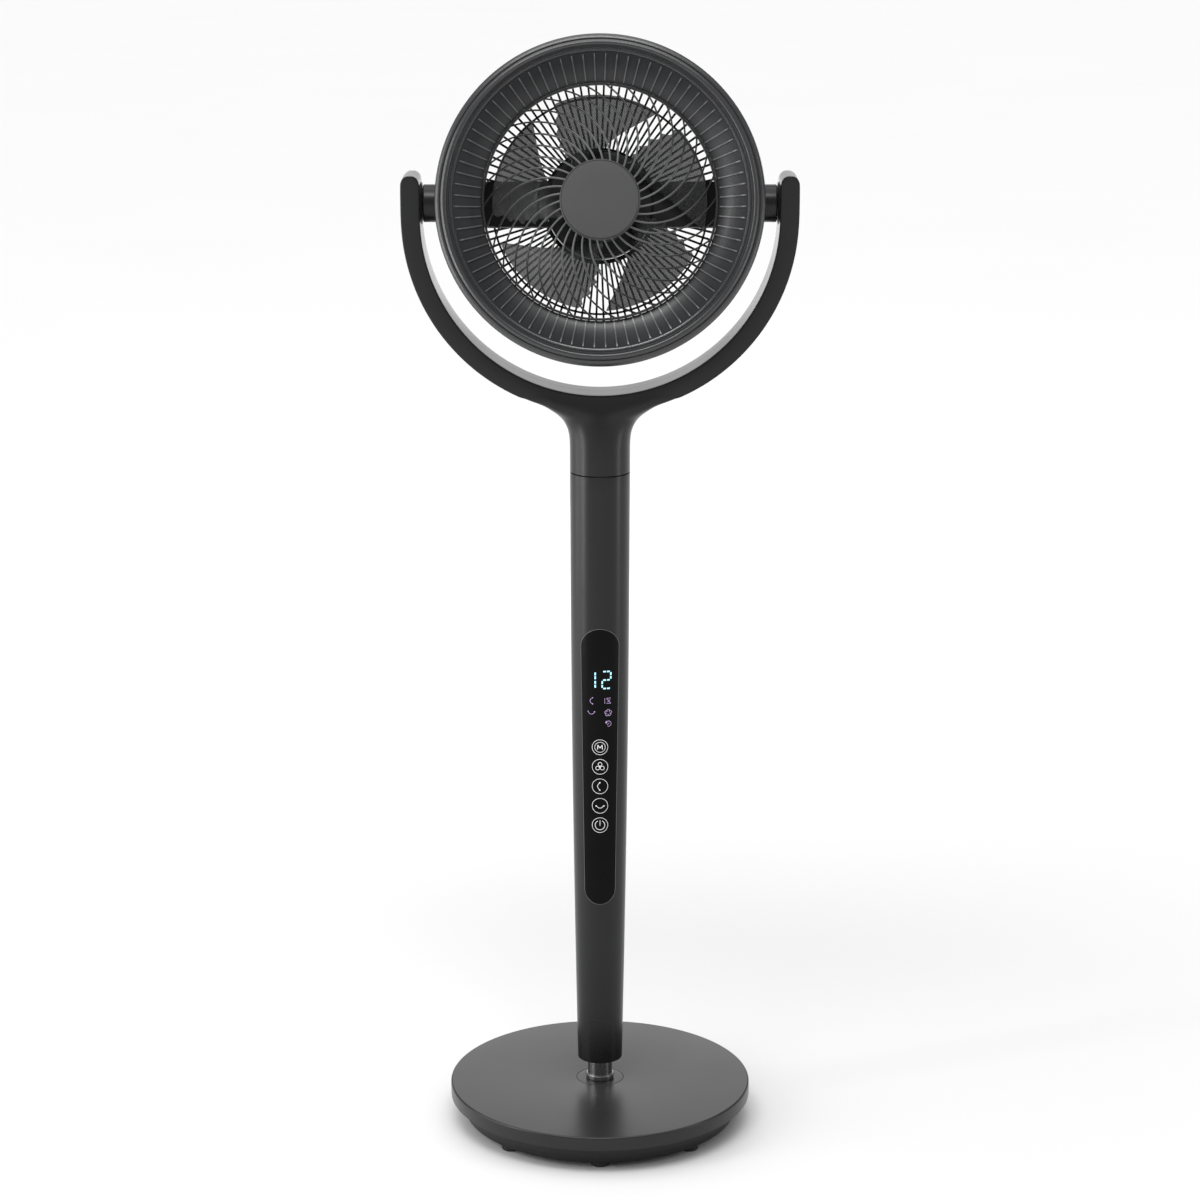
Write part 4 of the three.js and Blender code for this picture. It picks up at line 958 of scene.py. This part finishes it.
def yokeCage():
    outer = nodeBox("yoke_front_shell")[1].x
    inner = outer - yokeSizes["thickness"]
    middle = (outer + inner) / 2
    half = yokeSizes["depth"] / 2
    bulge = yokeSizes["bulge"]
    centreZ = pivot.z - yokeSizes["arcCentreDrop"]
    tipZ = nodeBox("yoke_front_shell")[1].z - yokeSizes["tipDrop"]
    sideBulge = yokeSizes["sideBulge"]
    shrink = smoothShrink(2 * yokeSizes["arcSteps"])
    bm = bmesh.new()
    section = [(inner, -half), (inner - sideBulge, 0), (inner, half), (middle, half + bulge),
               (outer, half), (outer + sideBulge, 0), (outer, -half), (middle, -half - bulge)]
    verts = [bm.verts.new((-radius / shrink, y, centreZ)) for radius, y in section]
    edges = [bm.edges.new((verts[i - 1], verts[i])) for i in range(len(verts))]
    bmesh.ops.spin(bm, geom=verts + edges, cent=(0, 0, centreZ), axis=(0, -1, 0), angle=math.pi,
                   steps=yokeSizes["arcSteps"])

    # straight arms with round tips
    tipRadius = yokeSizes["thickness"] / 2
    stations = [(pivot.z - centreZ, 1.0), (tipZ - tipRadius - pivot.z, 1.0)]
    stations += [(tipRadius * climb, share) for climb, share in yokeSizes["tip"]]
    for side in (-1, 1):
        rim = [edge for edge in bm.edges if edge.is_boundary and edge.verts[0].co.x * side > 0]
        lastShare = 1.0
        for climb, share in stations:
            grown = bmesh.ops.extrude_edge_only(bm, edges=rim)["geom"]
            rimVerts, rim = vertsIn(grown), edgesIn(grown)
            bmesh.ops.translate(bm, vec=(0, 0, climb), verts=rimVerts)
            about = Matrix.Translation((-middle * side, 0, 0))
            bmesh.ops.scale(bm, vec=(share / lastShare, 1, 1), verts=rimVerts, space=about)
            lastShare = share
        bmesh.ops.contextual_create(bm, geom=rim)

    # open the arc over the neck
    reach = yokeSizes["neckStations"] * outer * math.pi / yokeSizes["arcSteps"] + 1

    def overNeck(face):
        outside = all(math.hypot(vert.co.x, vert.co.z - centreZ) > middle + 1 for vert in face.verts)
        near = max(abs(vert.co.x) for vert in face.verts) < reach
        return outside and near and face.calc_center_median().z < centreZ
    bmesh.ops.delete(bm, geom=[face for face in bm.faces if overNeck(face)], context="FACES")

    # corners are held nearly sharp, but not where the neck grows out of the arc
    crease = bm.edges.layers.float.new("crease_edge")
    fadeReach, fadeShare = yokeSizes["creaseFade"]
    for edge in bm.edges:
        ends = [vert.co for vert in edge.verts]
        onCorner = all(abs(abs(end.y) - half) < 0.01 for end in ends)
        if not onCorner or abs(ends[0].y - ends[1].y) > 0.01:
            continue
        lowOuter = all(math.hypot(end.x, end.z - centreZ) > middle and end.z < centreZ for end in ends)
        nearNeck = max(abs(end.x) for end in ends) < reach
        nextToNeck = max(abs(end.x) for end in ends) < reach * fadeReach
        if lowOuter and nearNeck:
            continue
        edge[crease] = yokeSizes["crease"] * (fadeShare if lowOuter and nextToNeck else 1)

    # the neck, from the arc down to the seam
    opening = [edge for edge in bm.edges if edge.is_boundary]
    for vert in {vert for edge in opening for vert in edge.verts}:
        if abs(vert.co.y) > 0.9 * half:
            vert.co.y *= yokeSizes["throatSwell"]
    stations = 4 * (yokeSizes["neckStations"] + 1)
    shrink = smoothShrink(stations)
    for climb, halfWidth, halfDepth in reversed(yokeSizes["neck"]):
        place = (Matrix.Translation((0, 0, seamZ + climb))
                 @ Matrix.Diagonal((halfWidth / shrink, halfDepth / shrink, 1, 1)))
        circle = bmesh.ops.create_circle(bm, cap_ends=False, radius=1, segments=stations,
                                         matrix=place)["verts"]
        circleEdges = list({edge for vert in circle for edge in vert.link_edges})
        bmesh.ops.bridge_loops(bm, edges=opening + circleEdges)
        opening = circleEdges
    bmesh.ops.recalc_face_normals(bm, faces=bm.faces)
    return bm


def seamTongue(surface):
    # a thin strip inside the wall that closes the split line between the two halves
    tongue = copied(surface)
    for side in (-1, 1):
        edgeY = side * yokeSizes["tongueWidth"] / 2
        bmesh.ops.bisect_plane(tongue, geom=wholeOf(tongue), plane_co=(0, edgeY, 0),
                               plane_no=(0, side, 0), clear_outer=True)
    tongue.normal_update()
    for vert in tongue.verts:
        vert.co -= vert.normal * yokeSizes["tongueInset"]
    bmesh.ops.solidify(tongue, geom=tongue.faces[:], thickness=yokeSizes["tongueThickness"])
    return tongue


def pivotCollar(side):
    # the raised ring on the inner face of an arm
    radius, bore, depth = yokeSizes["collarRadius"], yokeSizes["collarBore"], yokeSizes["collarDepth"]
    collar = spun(rounded([
        (bore, 0), (bore, depth), (radius + 1.5, depth), (radius + 0.9, 0.9, 0.6),
        (radius, 0, yokeSizes["collarFillet"]),
    ]), 64)
    innerX = nodeBox("tilt_bush_right")[0].x
    collar.transform(Matrix.Translation((side * innerX, 0, pivot.z))
                     @ Matrix.Rotation(side * math.pi / 2, 4, "Y"))
    return collar


def addYoke():
    cage = looseObject(yokeCage(), "yoke_cage")
    smooth = cage.modifiers.new("smooth", "SUBSURF")
    smooth.levels = yokeSizes["levels"]
    smooth.render_levels = yokeSizes["levels"]
    surface = finishedMesh(cage)
    for name, side in (("front", -1), ("rear", 1)):
        cut = {"plane_co": (0, side * yokeSizes["splitGap"] / 2, 0), "plane_no": (0, side, 0)}
        half = copied(surface)
        bmesh.ops.bisect_plane(half, geom=wholeOf(half), clear_inner=True, **cut)
        bmesh.ops.solidify(half, geom=half.faces[:], thickness=yokeSizes["wall"])
        if name == "rear":
            half = joined(half, seamTongue(surface))
        for armSide in (-1, 1):
            collar = pivotCollar(armSide)
            bmesh.ops.bisect_plane(collar, geom=wholeOf(collar), clear_inner=True, **cut)
            bmesh.ops.holes_fill(collar, edges=collar.edges, sides=0)
            half = joined(half, collar)
        addPiece(f"yoke_{name}_half", half, "yoke", satinCharcoal,
                 replaced=[f"yoke_{name}_shell"], sharp=40)
    surface.free()


addYoke()
print("yoke made")

# Head shells

bezelSizes = {
    "sides": 192,
    "ridgeRadius": 149.4,
    "grooveRadius": 153.2,
    "beadRadius": 143.9,
    "undercutRadius": 141.5,
    "faceDrop": 12,         # from the lip back to where the rim starts to turn in
    "wall": 2.6,
}


def addBezel():
    low, high = nodeBox("front_bezel", headPlace)
    rim, back, lip = high.x, low.z, high.z
    plane = lip - bezelSizes["faceDrop"]
    wall = bezelSizes["wall"]
    groove = bezelSizes["grooveRadius"]
    bead = bezelSizes["beadRadius"]
    inner = bezelSizes["undercutRadius"]
    ridge = bezelSizes["ridgeRadius"]
    profile = rounded([
        (rim - 1.5, back, 0.3),
        (rim, plane, 9),
        (rim - 0.7, plane + 6.0, 4),
        (rim - 3.0, plane + 9.0, 2.5),
        (groove + 0.5, plane + 9.7, 0.3),
        (groove + 0.3, plane + 8.7, 0.3),
        (groove - 0.3, plane + 8.7, 0.3),
        (groove - 0.7, plane + 9.9, 0.8),
        (ridge + 1.2, lip, 2.4),
        (ridge - 1.4, lip, 2.4),
        (bead + 1.8, lip - 3.2, 1.6),
        (bead + 0.8, lip - 4.4, 0.4),
        (bead + 0.5, lip - 3.7, 0.3),
        (bead - 0.5, lip - 3.7, 0.3),
        (bead - 0.9, lip - 4.8, 0.4),
        (inner + 0.2, lip - 5.4, 0.5),
        (inner, lip - 9.2),
        (inner + wall, lip - 9.2),
        (inner + wall, lip - 5.6 - wall, 1),
        (groove - 2, lip - 4.5 - wall, 2),
        (rim - wall - 1, plane + 3, 4),
        (rim - wall, plane, 4),
        (rim - wall - 1.4, back),
    ], 6)
    bezel = spun(profile, bezelSizes["sides"])
    addPiece("front_bezel_ring", bezel, "head", headCharcoal, headPlace, ["front_bezel"])


dishSizes = {
    "sides": 192,
    "outer": 143,
    "throat": 114.5,
    "depth": 22,
    "curve": 1.5,
    "steps": 20,
    "wall": 2.6,
    "throatFlare": 1.4,
    "throatDepths": (4, 6),  # of its straight part, inside and outside
    "ribCount": 80,
    "ribWidth": 1.25,
    "ribHeight": 1.5,
    "ribEndShare": 0.25,    # of its height, where it starts and ends
    "ribSunk": 0.4,
    "ribTurn": 2.25,
    "ribStart": 0.09,
    "ribEnd": 0.985,
    "ribSteps": 12,
}
dishLow, dishHigh = nodeBox("dish_ring", headPlace)


def dishPoint(share, lift=0.0):
    # a point of the dish's face as (radius, height), from its outer edge, 0, to its throat, 1
    def spot(at):
        radius = blendValue(dishSizes["outer"], dishSizes["throat"], at)
        drop = dishSizes["depth"] * (1 - (1 - at) ** dishSizes["curve"])
        return Vector((radius, dishHigh.z - drop))
    along = spot(min(share + 0.01, 1)) - spot(max(share - 0.01, 0))
    normal = Vector((along.y, -along.x)).normalized()
    if normal.y < 0:
        normal = -normal
    return spot(share) + normal * lift


def dishRib():
    steps = dishSizes["ribSteps"]
    width = dishSizes["ribWidth"]
    shares = [blendValue(dishSizes["ribStart"], dishSizes["ribEnd"], i / steps) for i in range(steps + 1)]
    feet = [dishPoint(share, -dishSizes["ribSunk"]) for share in shares]
    rib = bmesh.new()
    lower = [rib.verts.new((foot.x, 0, foot.y)) for foot in feet]
    chain = [rib.edges.new(pair) for pair in zip(lower, lower[1:])]
    grown = bmesh.ops.extrude_edge_only(rib, edges=chain)["geom"]
    upper = sorted(vertsIn(grown), key=lambda vert: -vert.co.x)
    for i, (vert, share) in enumerate(zip(upper, shares)):
        height = dishSizes["ribHeight"] * (dishSizes["ribEndShare"] if i in (0, steps) else 1)
        spot = dishPoint(share, height)
        vert.co = Vector((spot.x, 0, spot.y))
    grown = bmesh.ops.extrude_face_region(rib, geom=rib.faces[:])["geom"]
    bmesh.ops.translate(rib, vec=(0, width, 0), verts=vertsIn(grown))
    bmesh.ops.translate(rib, vec=(0, -width / 2, 0), verts=rib.verts)
    bmesh.ops.recalc_face_normals(rib, faces=rib.faces)
    rib.transform(Matrix.Rotation(math.radians(dishSizes["ribTurn"]), 4, "Z"))
    return rib


def addDish():
    steps = dishSizes["steps"]
    wall = dishSizes["wall"]
    face = [dishPoint(i / steps) for i in range(steps + 1)]
    back = [dishPoint(i / steps, -wall) for i in range(steps, -1, -1)]
    throat = dishSizes["throat"]
    flare = throat + dishSizes["throatFlare"]
    floorZ = face[-1].y
    insideDepth, outsideDepth = dishSizes["throatDepths"]
    skirt = [Vector((throat, floorZ - insideDepth)), Vector((flare, dishLow.z)),
             Vector((flare + wall, dishLow.z)), Vector((throat + wall, floorZ - outsideDepth))]
    dish = spun(face + skirt + back[1:], dishSizes["sides"])
    ribs = ringOfCopies(dishRib(), dishSizes["ribCount"])
    addPiece("dish_shell", dish, "head", ribCharcoal, headPlace, ["dish_ring"])
    addPiece("dish_ribs", ribs, "head", paintedHighlightCharcoal, headPlace)


rearSizes = {
    "sides": 160,
    "inset": 25,
    "step": 1.6,
    "bulge": 2.2,
    "wall": 2.6,
    "steps": 18,
    "bossStart": 150,       # inside the shell, from the fan's middle
    "bossGap": 0.5,
    "bossEdge": 1.6,
    "bossBore": 4.2,
    "pinRadius": 6,
}
rearLow, rearHigh = nodeBox("rear_shell", headPlace)


def rearCurve(share, inset=0.0):
    radius = rearHigh.x - (rearSizes["inset"] - rearSizes["step"]) * share ** rearSizes["bulge"]
    return Vector((radius - inset, blendValue(rearHigh.z, rearLow.z, share)))


def addRearShell():
    steps = rearSizes["steps"]
    outside = [rearCurve(i / steps) for i in range(steps + 1)]
    inside = [rearCurve(i / steps, rearSizes["wall"]) for i in range(steps, -1, -1)]
    outside[0] = (*outside[0], 0.6)
    outside[-1] = (*outside[-1], 1.2)
    shell = spun(rounded(outside + inside), rearSizes["sides"])
    addPiece("rear_shell_fine", shell, "head", headCharcoal, headPlace, ["rear_shell"])

    face = nodeBox("tilt_bush_right")[0].x - rearSizes["bossGap"]
    bore, pin, start = rearSizes["bossBore"], rearSizes["pinRadius"], rearSizes["bossStart"]
    for name, side in (("left", -1), ("right", 1)):
        low, high = nodeBox(f"pivot_boss_{name}")
        radius = (high.z - low.z) / 2
        end = max(abs(low.x), abs(high.x))
        boss = spun(rounded([
            (bore, start), (radius, start), (radius, face, rearSizes["bossEdge"]), (pin, face),
            (pin, end, 0.6), (bore, end),
        ]), 72)
        place = Matrix.Translation((0, 0, pivot.z)) @ Matrix.Rotation(side * math.pi / 2, 4, "Y")
        addPiece(f"pivot_barrel_{name}", boss, "head", satinCharcoal, place,
                 [f"pivot_boss_{name}"])


addBezel()
addDish()
addRearShell()
print("head shells made")

# Front grille and hub cap

grilleSizes = {
    "bars": 34,
    "steps": 18,
    "hubWidth": 2.0,
    "rimWidth": 1.7,
    "depth": 3.0,
    "sweepLinear": 29,
    "sweepSquare": 16,
    "domePower": 1.7,
    "innerRadius": 34.6,
    "ringWidth": 2.4,
    "ringHeight": 6.4,
    "floorLift": 3.2,
    "domeFront": 43.5,
    "hubRing": (30.6, 37.2),
    "hubRingHalf": 2.1,
}
grilleLow, grilleHigh = nodeBox("front_grille", headPlace)


def grillePlace(share):
    # where a bar's section stands, from the hub, 0, to the rim, 1
    rim = grilleHigh.x - grilleSizes["ringWidth"] / 2
    front = grilleSizes["domeFront"]
    drop = front - (grilleLow.z + grilleSizes["floorLift"])

    def spot(at):
        radius = blendValue(grilleSizes["innerRadius"], rim, at)
        sweep = grilleSizes["sweepLinear"] * at + grilleSizes["sweepSquare"] * at * abs(at)
        angle = math.radians(sweep)
        depth = front - drop * max(at, 0) ** grilleSizes["domePower"]
        return Vector((radius * math.cos(angle), radius * math.sin(angle), depth))
    along = (spot(share + 0.01) - spot(share - 0.01)).normalized()
    side = Vector((-along.y, along.x, 0)).normalized()
    up = along.cross(side).normalized()
    if up.z < 0:
        up = -up
    width = blendValue(grilleSizes["hubWidth"], grilleSizes["rimWidth"], share) / 2
    here = spot(share)
    matrix = Matrix.Identity(4)
    for i, column in enumerate((side * width, up * grilleSizes["depth"] / 2, along, here)):
        matrix.col[i][:3] = column
    return matrix


def grilleBar():
    bm = bmesh.new()
    lastPlace = grillePlace(0)
    ring = bmesh.ops.create_circle(bm, cap_ends=True, radius=1, segments=8, matrix=lastPlace)["verts"]
    edges = list({edge for vert in ring for edge in vert.link_edges})
    for i in range(1, grilleSizes["steps"] + 1):
        place = grillePlace(i / grilleSizes["steps"])
        grown = bmesh.ops.extrude_edge_only(bm, edges=edges)["geom"]
        edges = edgesIn(grown)
        bmesh.ops.transform(bm, matrix=place @ lastPlace.inverted(), verts=vertsIn(grown))
        lastPlace = place
    bmesh.ops.contextual_create(bm, geom=edges)
    bmesh.ops.recalc_face_normals(bm, faces=bm.faces)
    return bm


def addFrontGrille():
    bars = ringOfCopies(grilleBar(), grilleSizes["bars"])
    outer, low = grilleHigh.x, grilleLow.z
    inner = outer - grilleSizes["ringWidth"]
    high = low + grilleSizes["ringHeight"]
    rim = spun(rounded([(outer, low, 0.5), (outer, high, 0.8), (inner, high, 0.8), (inner, low, 0.5)]), 160)
    inner, outer = grilleSizes["hubRing"]
    low = grilleSizes["domeFront"] - grilleSizes["hubRingHalf"]
    high = grilleSizes["domeFront"] + grilleSizes["hubRingHalf"]
    hub = spun(rounded([(inner, low, 0.6), (outer, low, 0.6), (outer, high, 1.0), (inner, high, 0.6)]))
    grille = joined(bars, rim, hub)
    addPiece("front_grille_bars", grille, "head", barGreyPaintedShade, headPlace, ["front_grille"])


capSizes = {
    "crown": (0.5, 0.35),   # above the edge, at the middle and half way out
    "grooveDepth": 1.1,
    "wall": 2.2,
}


def addHubCap():
    low, high = nodeBox("hub_cap", headPlace)
    radius, face = high.x, high.z
    middleRise, halfWayRise = capSizes["crown"]
    groove = face - capSizes["grooveDepth"]
    inner = radius - capSizes["wall"]
    cap = spun(rounded([
        (0, face + middleRise), (radius * 0.5, face + halfWayRise, 6), (radius - 1.9, face, 0.3),
        (radius - 1.7, groove), (radius - 1.1, groove), (radius - 0.9, face - 0.3, 0.2),
        (radius, face - 1.3, 0.6), (radius, low.z, 0.3), (inner, low.z), (inner, face - 2.6, 1.0),
        (0, face - 2.4),
    ]), 128)
    addPiece("hub_cap_disc", cap, "head", hubGrey, headPlace, ["hub_cap"])


addFrontGrille()
addHubCap()
print("front grille and hub cap made")

# Impeller and motor

impellerSizes = {
    "blades": 5,
    "hubRadius": 38,
    "hubWall": 2.5,
    "bore": 4.3,
    "bossRadius": 8.3,
    "bossLength": 16,
    "thickness": 1.7,
    # angle of each edge in degrees: at the hub, its slope and its curve on the way out
    "leading": (103, -74.6, 28.9),
    "trailing": (129.6, 0, -15.4),
    "rear": -7,
    "front": 13,
    "camber": 2,
    "chordSteps": 18,
    "spanSteps": 44,
    "scallops": 5,
    "scallopDepth": 5.0,
    "scallopFrom": 0.1,
    "scallopTo": 0.93,
    "scallopChord": 0.75,   # the scallops start this far across the blade
    "lineRadius": 61.5,
    "lineHalfWidth": 0.8,
    "lineHeight": 0.5,
}


def edgeAngle(edge, share):
    start, slope, curve = impellerSizes[edge]
    return start + slope * share + curve * share ** 2


def bladeSheet(tip, root):
    sizes = impellerSizes
    scallopSpan = sizes["scallopTo"] - sizes["scallopFrom"]
    bm = bmesh.new()
    bmesh.ops.create_grid(bm, x_segments=sizes["spanSteps"], y_segments=sizes["chordSteps"], size=0.5)
    for vert in bm.verts:
        share = vert.co.x + 0.5
        chord = vert.co.y + 0.5
        radius = blendValue(root, tip, share)
        scallopShare = (share - sizes["scallopFrom"]) / scallopSpan
        notch = 0.0
        if 0 < scallopShare < 1:
            notch = abs(math.sin(math.pi * scallopShare * sizes["scallops"])) * sizes["scallopDepth"]
        nearEdge = max(chord - sizes["scallopChord"], 0) / (1 - sizes["scallopChord"])
        trail = edgeAngle("trailing", share) - math.degrees(notch / radius) * nearEdge * chord
        angle = math.radians(blendValue(edgeAngle("leading", share), trail, chord))
        camber = sizes["camber"] * math.sin(math.pi * chord)
        depth = blendValue(sizes["rear"], sizes["front"], chord) + camber
        if abs(radius - sizes["lineRadius"]) < sizes["lineHalfWidth"]:
            depth += sizes["lineHeight"]
        vert.co = Vector((radius * math.cos(angle), radius * math.sin(angle), depth))
    bmesh.ops.recalc_face_normals(bm, faces=bm.faces)
    bmesh.ops.solidify(bm, geom=bm.faces[:], thickness=sizes["thickness"])
    bmesh.ops.recalc_face_normals(bm, faces=bm.faces)
    return bm


def addImpeller():
    low, high = nodeBox("impeller", headPlace)
    toHead = headPlace.inverted()
    tip = max((toHead @ (vertex.co / mm)).xy.length for vertex in nodes["impeller"].data.vertices)
    radius, wall = impellerSizes["hubRadius"], impellerSizes["hubWall"]
    bore, boss = impellerSizes["bore"], impellerSizes["bossRadius"]
    blades = ringOfCopies(bladeSheet(tip, radius - 1), impellerSizes["blades"])
    addPiece("impeller_blades", blades, "impeller", bladeSmoke, headPlace, sharp=30)
    under = high.z - wall
    bossEnd = high.z - impellerSizes["bossLength"]
    hub = spun(rounded([
        (bore, high.z, 0.4), (radius, high.z, 3.5), (radius, low.z, 0.5), (radius - wall, low.z),
        (radius - wall, under, 2), (boss, under), (boss, bossEnd), (bore, bossEnd),
    ]))
    addPiece("impeller_hub", hub, "impeller", moulded, headPlace, ["impeller"])


motorSizes = {
    "bore": 5,
    "bossRadius": 14.3,
    "bossStep": 0.5,
    "wall": 2.5,
    "endWall": 4.5,
}


def addMotorHousing():
    low, high = nodeBox("motor_housing", headPlace)
    radius, top = high.x, high.z
    inner = radius - motorSizes["wall"]
    bore, boss = motorSizes["bore"], motorSizes["bossRadius"]
    step, under = top - motorSizes["bossStep"], top - motorSizes["wall"]
    housing = spun(rounded([
        (bore, step), (boss, step, 0.3), (boss, top, 0.3), (radius, top, 4), (radius, low.z, 0.5),
        (inner, low.z), (inner, top - motorSizes["endWall"], 2), (boss, under), (bore, under),
    ]))
    addPiece("motor_housing_can", housing, "head", moulded, headPlace, ["motor_housing"])


rearGrilleSizes = {
    "bars": 96,
    "barWidth": 2.0,
    "barDepth": 4.4,
    "barLift": 0.2,
    "barReach": (3, 4),     # into the inner ring and into the rim
    "middleRing": 106,
    "middleRingHalf": (1, 1.6),
    "rimWidth": 5,
    "innerWidth": 4,
    "innerGap": 0.3,
}


def addRearGrille():
    low, high = nodeBox("rear_grille", headPlace)
    sizes = rearGrilleSizes
    rim = high.x
    housing = nodeBox("motor_housing", headPlace)[1].x + sizes["innerGap"]
    middle = low.z + sizes["barDepth"] / 2 + sizes["barLift"]
    start = housing + sizes["barReach"][0]
    end = rim - sizes["barReach"][1]
    bars = box(end - start, sizes["barWidth"], sizes["barDepth"], ((start + end) / 2, 0, middle))
    longEdges = [edge for edge in bars.edges if abs(edge.verts[0].co.x - edge.verts[1].co.x) > 1]
    bmesh.ops.bevel(bars, geom=longEdges, offset=0.3, segments=1, affect="EDGES", profile=0.5, material=-1)
    ringOfCopies(bars, sizes["bars"])
    bars.transform(Matrix.Rotation(math.pi / sizes["bars"], 4, "Z"))
    rings = []
    for inner, outer in ((rim - sizes["rimWidth"], rim), (housing, housing + sizes["innerWidth"])):
        rings.append(spun(rounded([
            (inner, low.z, 0.8), (outer, low.z, 0.8), (outer, high.z, 0.5), (inner, high.z, 0.5),
        ]), 144))
    halfWidth, halfHeight = sizes["middleRingHalf"]
    inner, outer = sizes["middleRing"] - halfWidth, sizes["middleRing"] + halfWidth
    bottom, top = middle - halfHeight, middle + halfHeight
    rings.append(spun(rounded([
        (inner, bottom, 0.4), (outer, bottom, 0.4), (outer, top, 0.4), (inner, top, 0.4),
    ]), 144))
    grille = joined(bars, *rings)
    addPiece("rear_grille_bars", grille, "head", moulded, headPlace, ["rear_grille"])


motorCoverSizes = {
    "thickness": 2.8,
    "slots": 36,
    "slot": (9, 1.8, 12),
    "slotCircle": 34,
    "screws": 4,
    "screwCircle": 46,
}


def addMotorCover():
    low, high = nodeBox("motor_cover", headPlace)
    top = low.z + motorCoverSizes["thickness"]
    cover = spun(rounded([(0, low.z), (high.x, low.z, 1.6), (high.x, top), (0, top)]))
    slot = box(*motorCoverSizes["slot"], (motorCoverSizes["slotCircle"], 0, low.z))
    cover = combined(cover, ringOfCopies(slot, motorCoverSizes["slots"]))
    addPiece("motor_cover_plate", cover, "head", moulded, headPlace, ["motor_cover"])

    screw = panHeadScrew(2.8, 1.5)
    screw.transform(Matrix.Translation((motorCoverSizes["screwCircle"], 0, 0)))
    ringOfCopies(screw, motorCoverSizes["screws"])
    place = (headPlace @ Matrix.Translation((0, 0, low.z)) @ Matrix.Rotation(math.pi, 4, "X")
             @ Matrix.Rotation(math.pi / 4, 4, "Z"))
    addPiece("motor_cover_screws", screw, "head", turnedSteel, place)


addImpeller()
addMotorHousing()
addRearGrille()
addMotorCover()
print("impeller, motor and rear grille made")

# Finishes of the frame parts that stay

keptFinishes = {
    "brushed_steel": turnedSteel,
    "black_plastic": moulded,
    "white_nylon": nylon,
    "circuit_board": boardGreen,
    "cast_iron": castIron,
    "copper_core": copper,
    "black_rubber": rubber,
    "satin_charcoal": satinCharcoal,
    "hub_grey": hubGrey,
    "blade_grey": bladeSmoke,
    "panel_gloss": panelGloss,
}
for subpart in frame["record"]["subparts"]:
    part = nodes[subpart["node"]]
    finish = keptFinishes[subpart["material_slot"]]
    if part.material_slots:
        for materialSlot in part.material_slots:
            materialSlot.material = finish
    else:
        part.data.materials.append(finish)
print("frame parts finished")
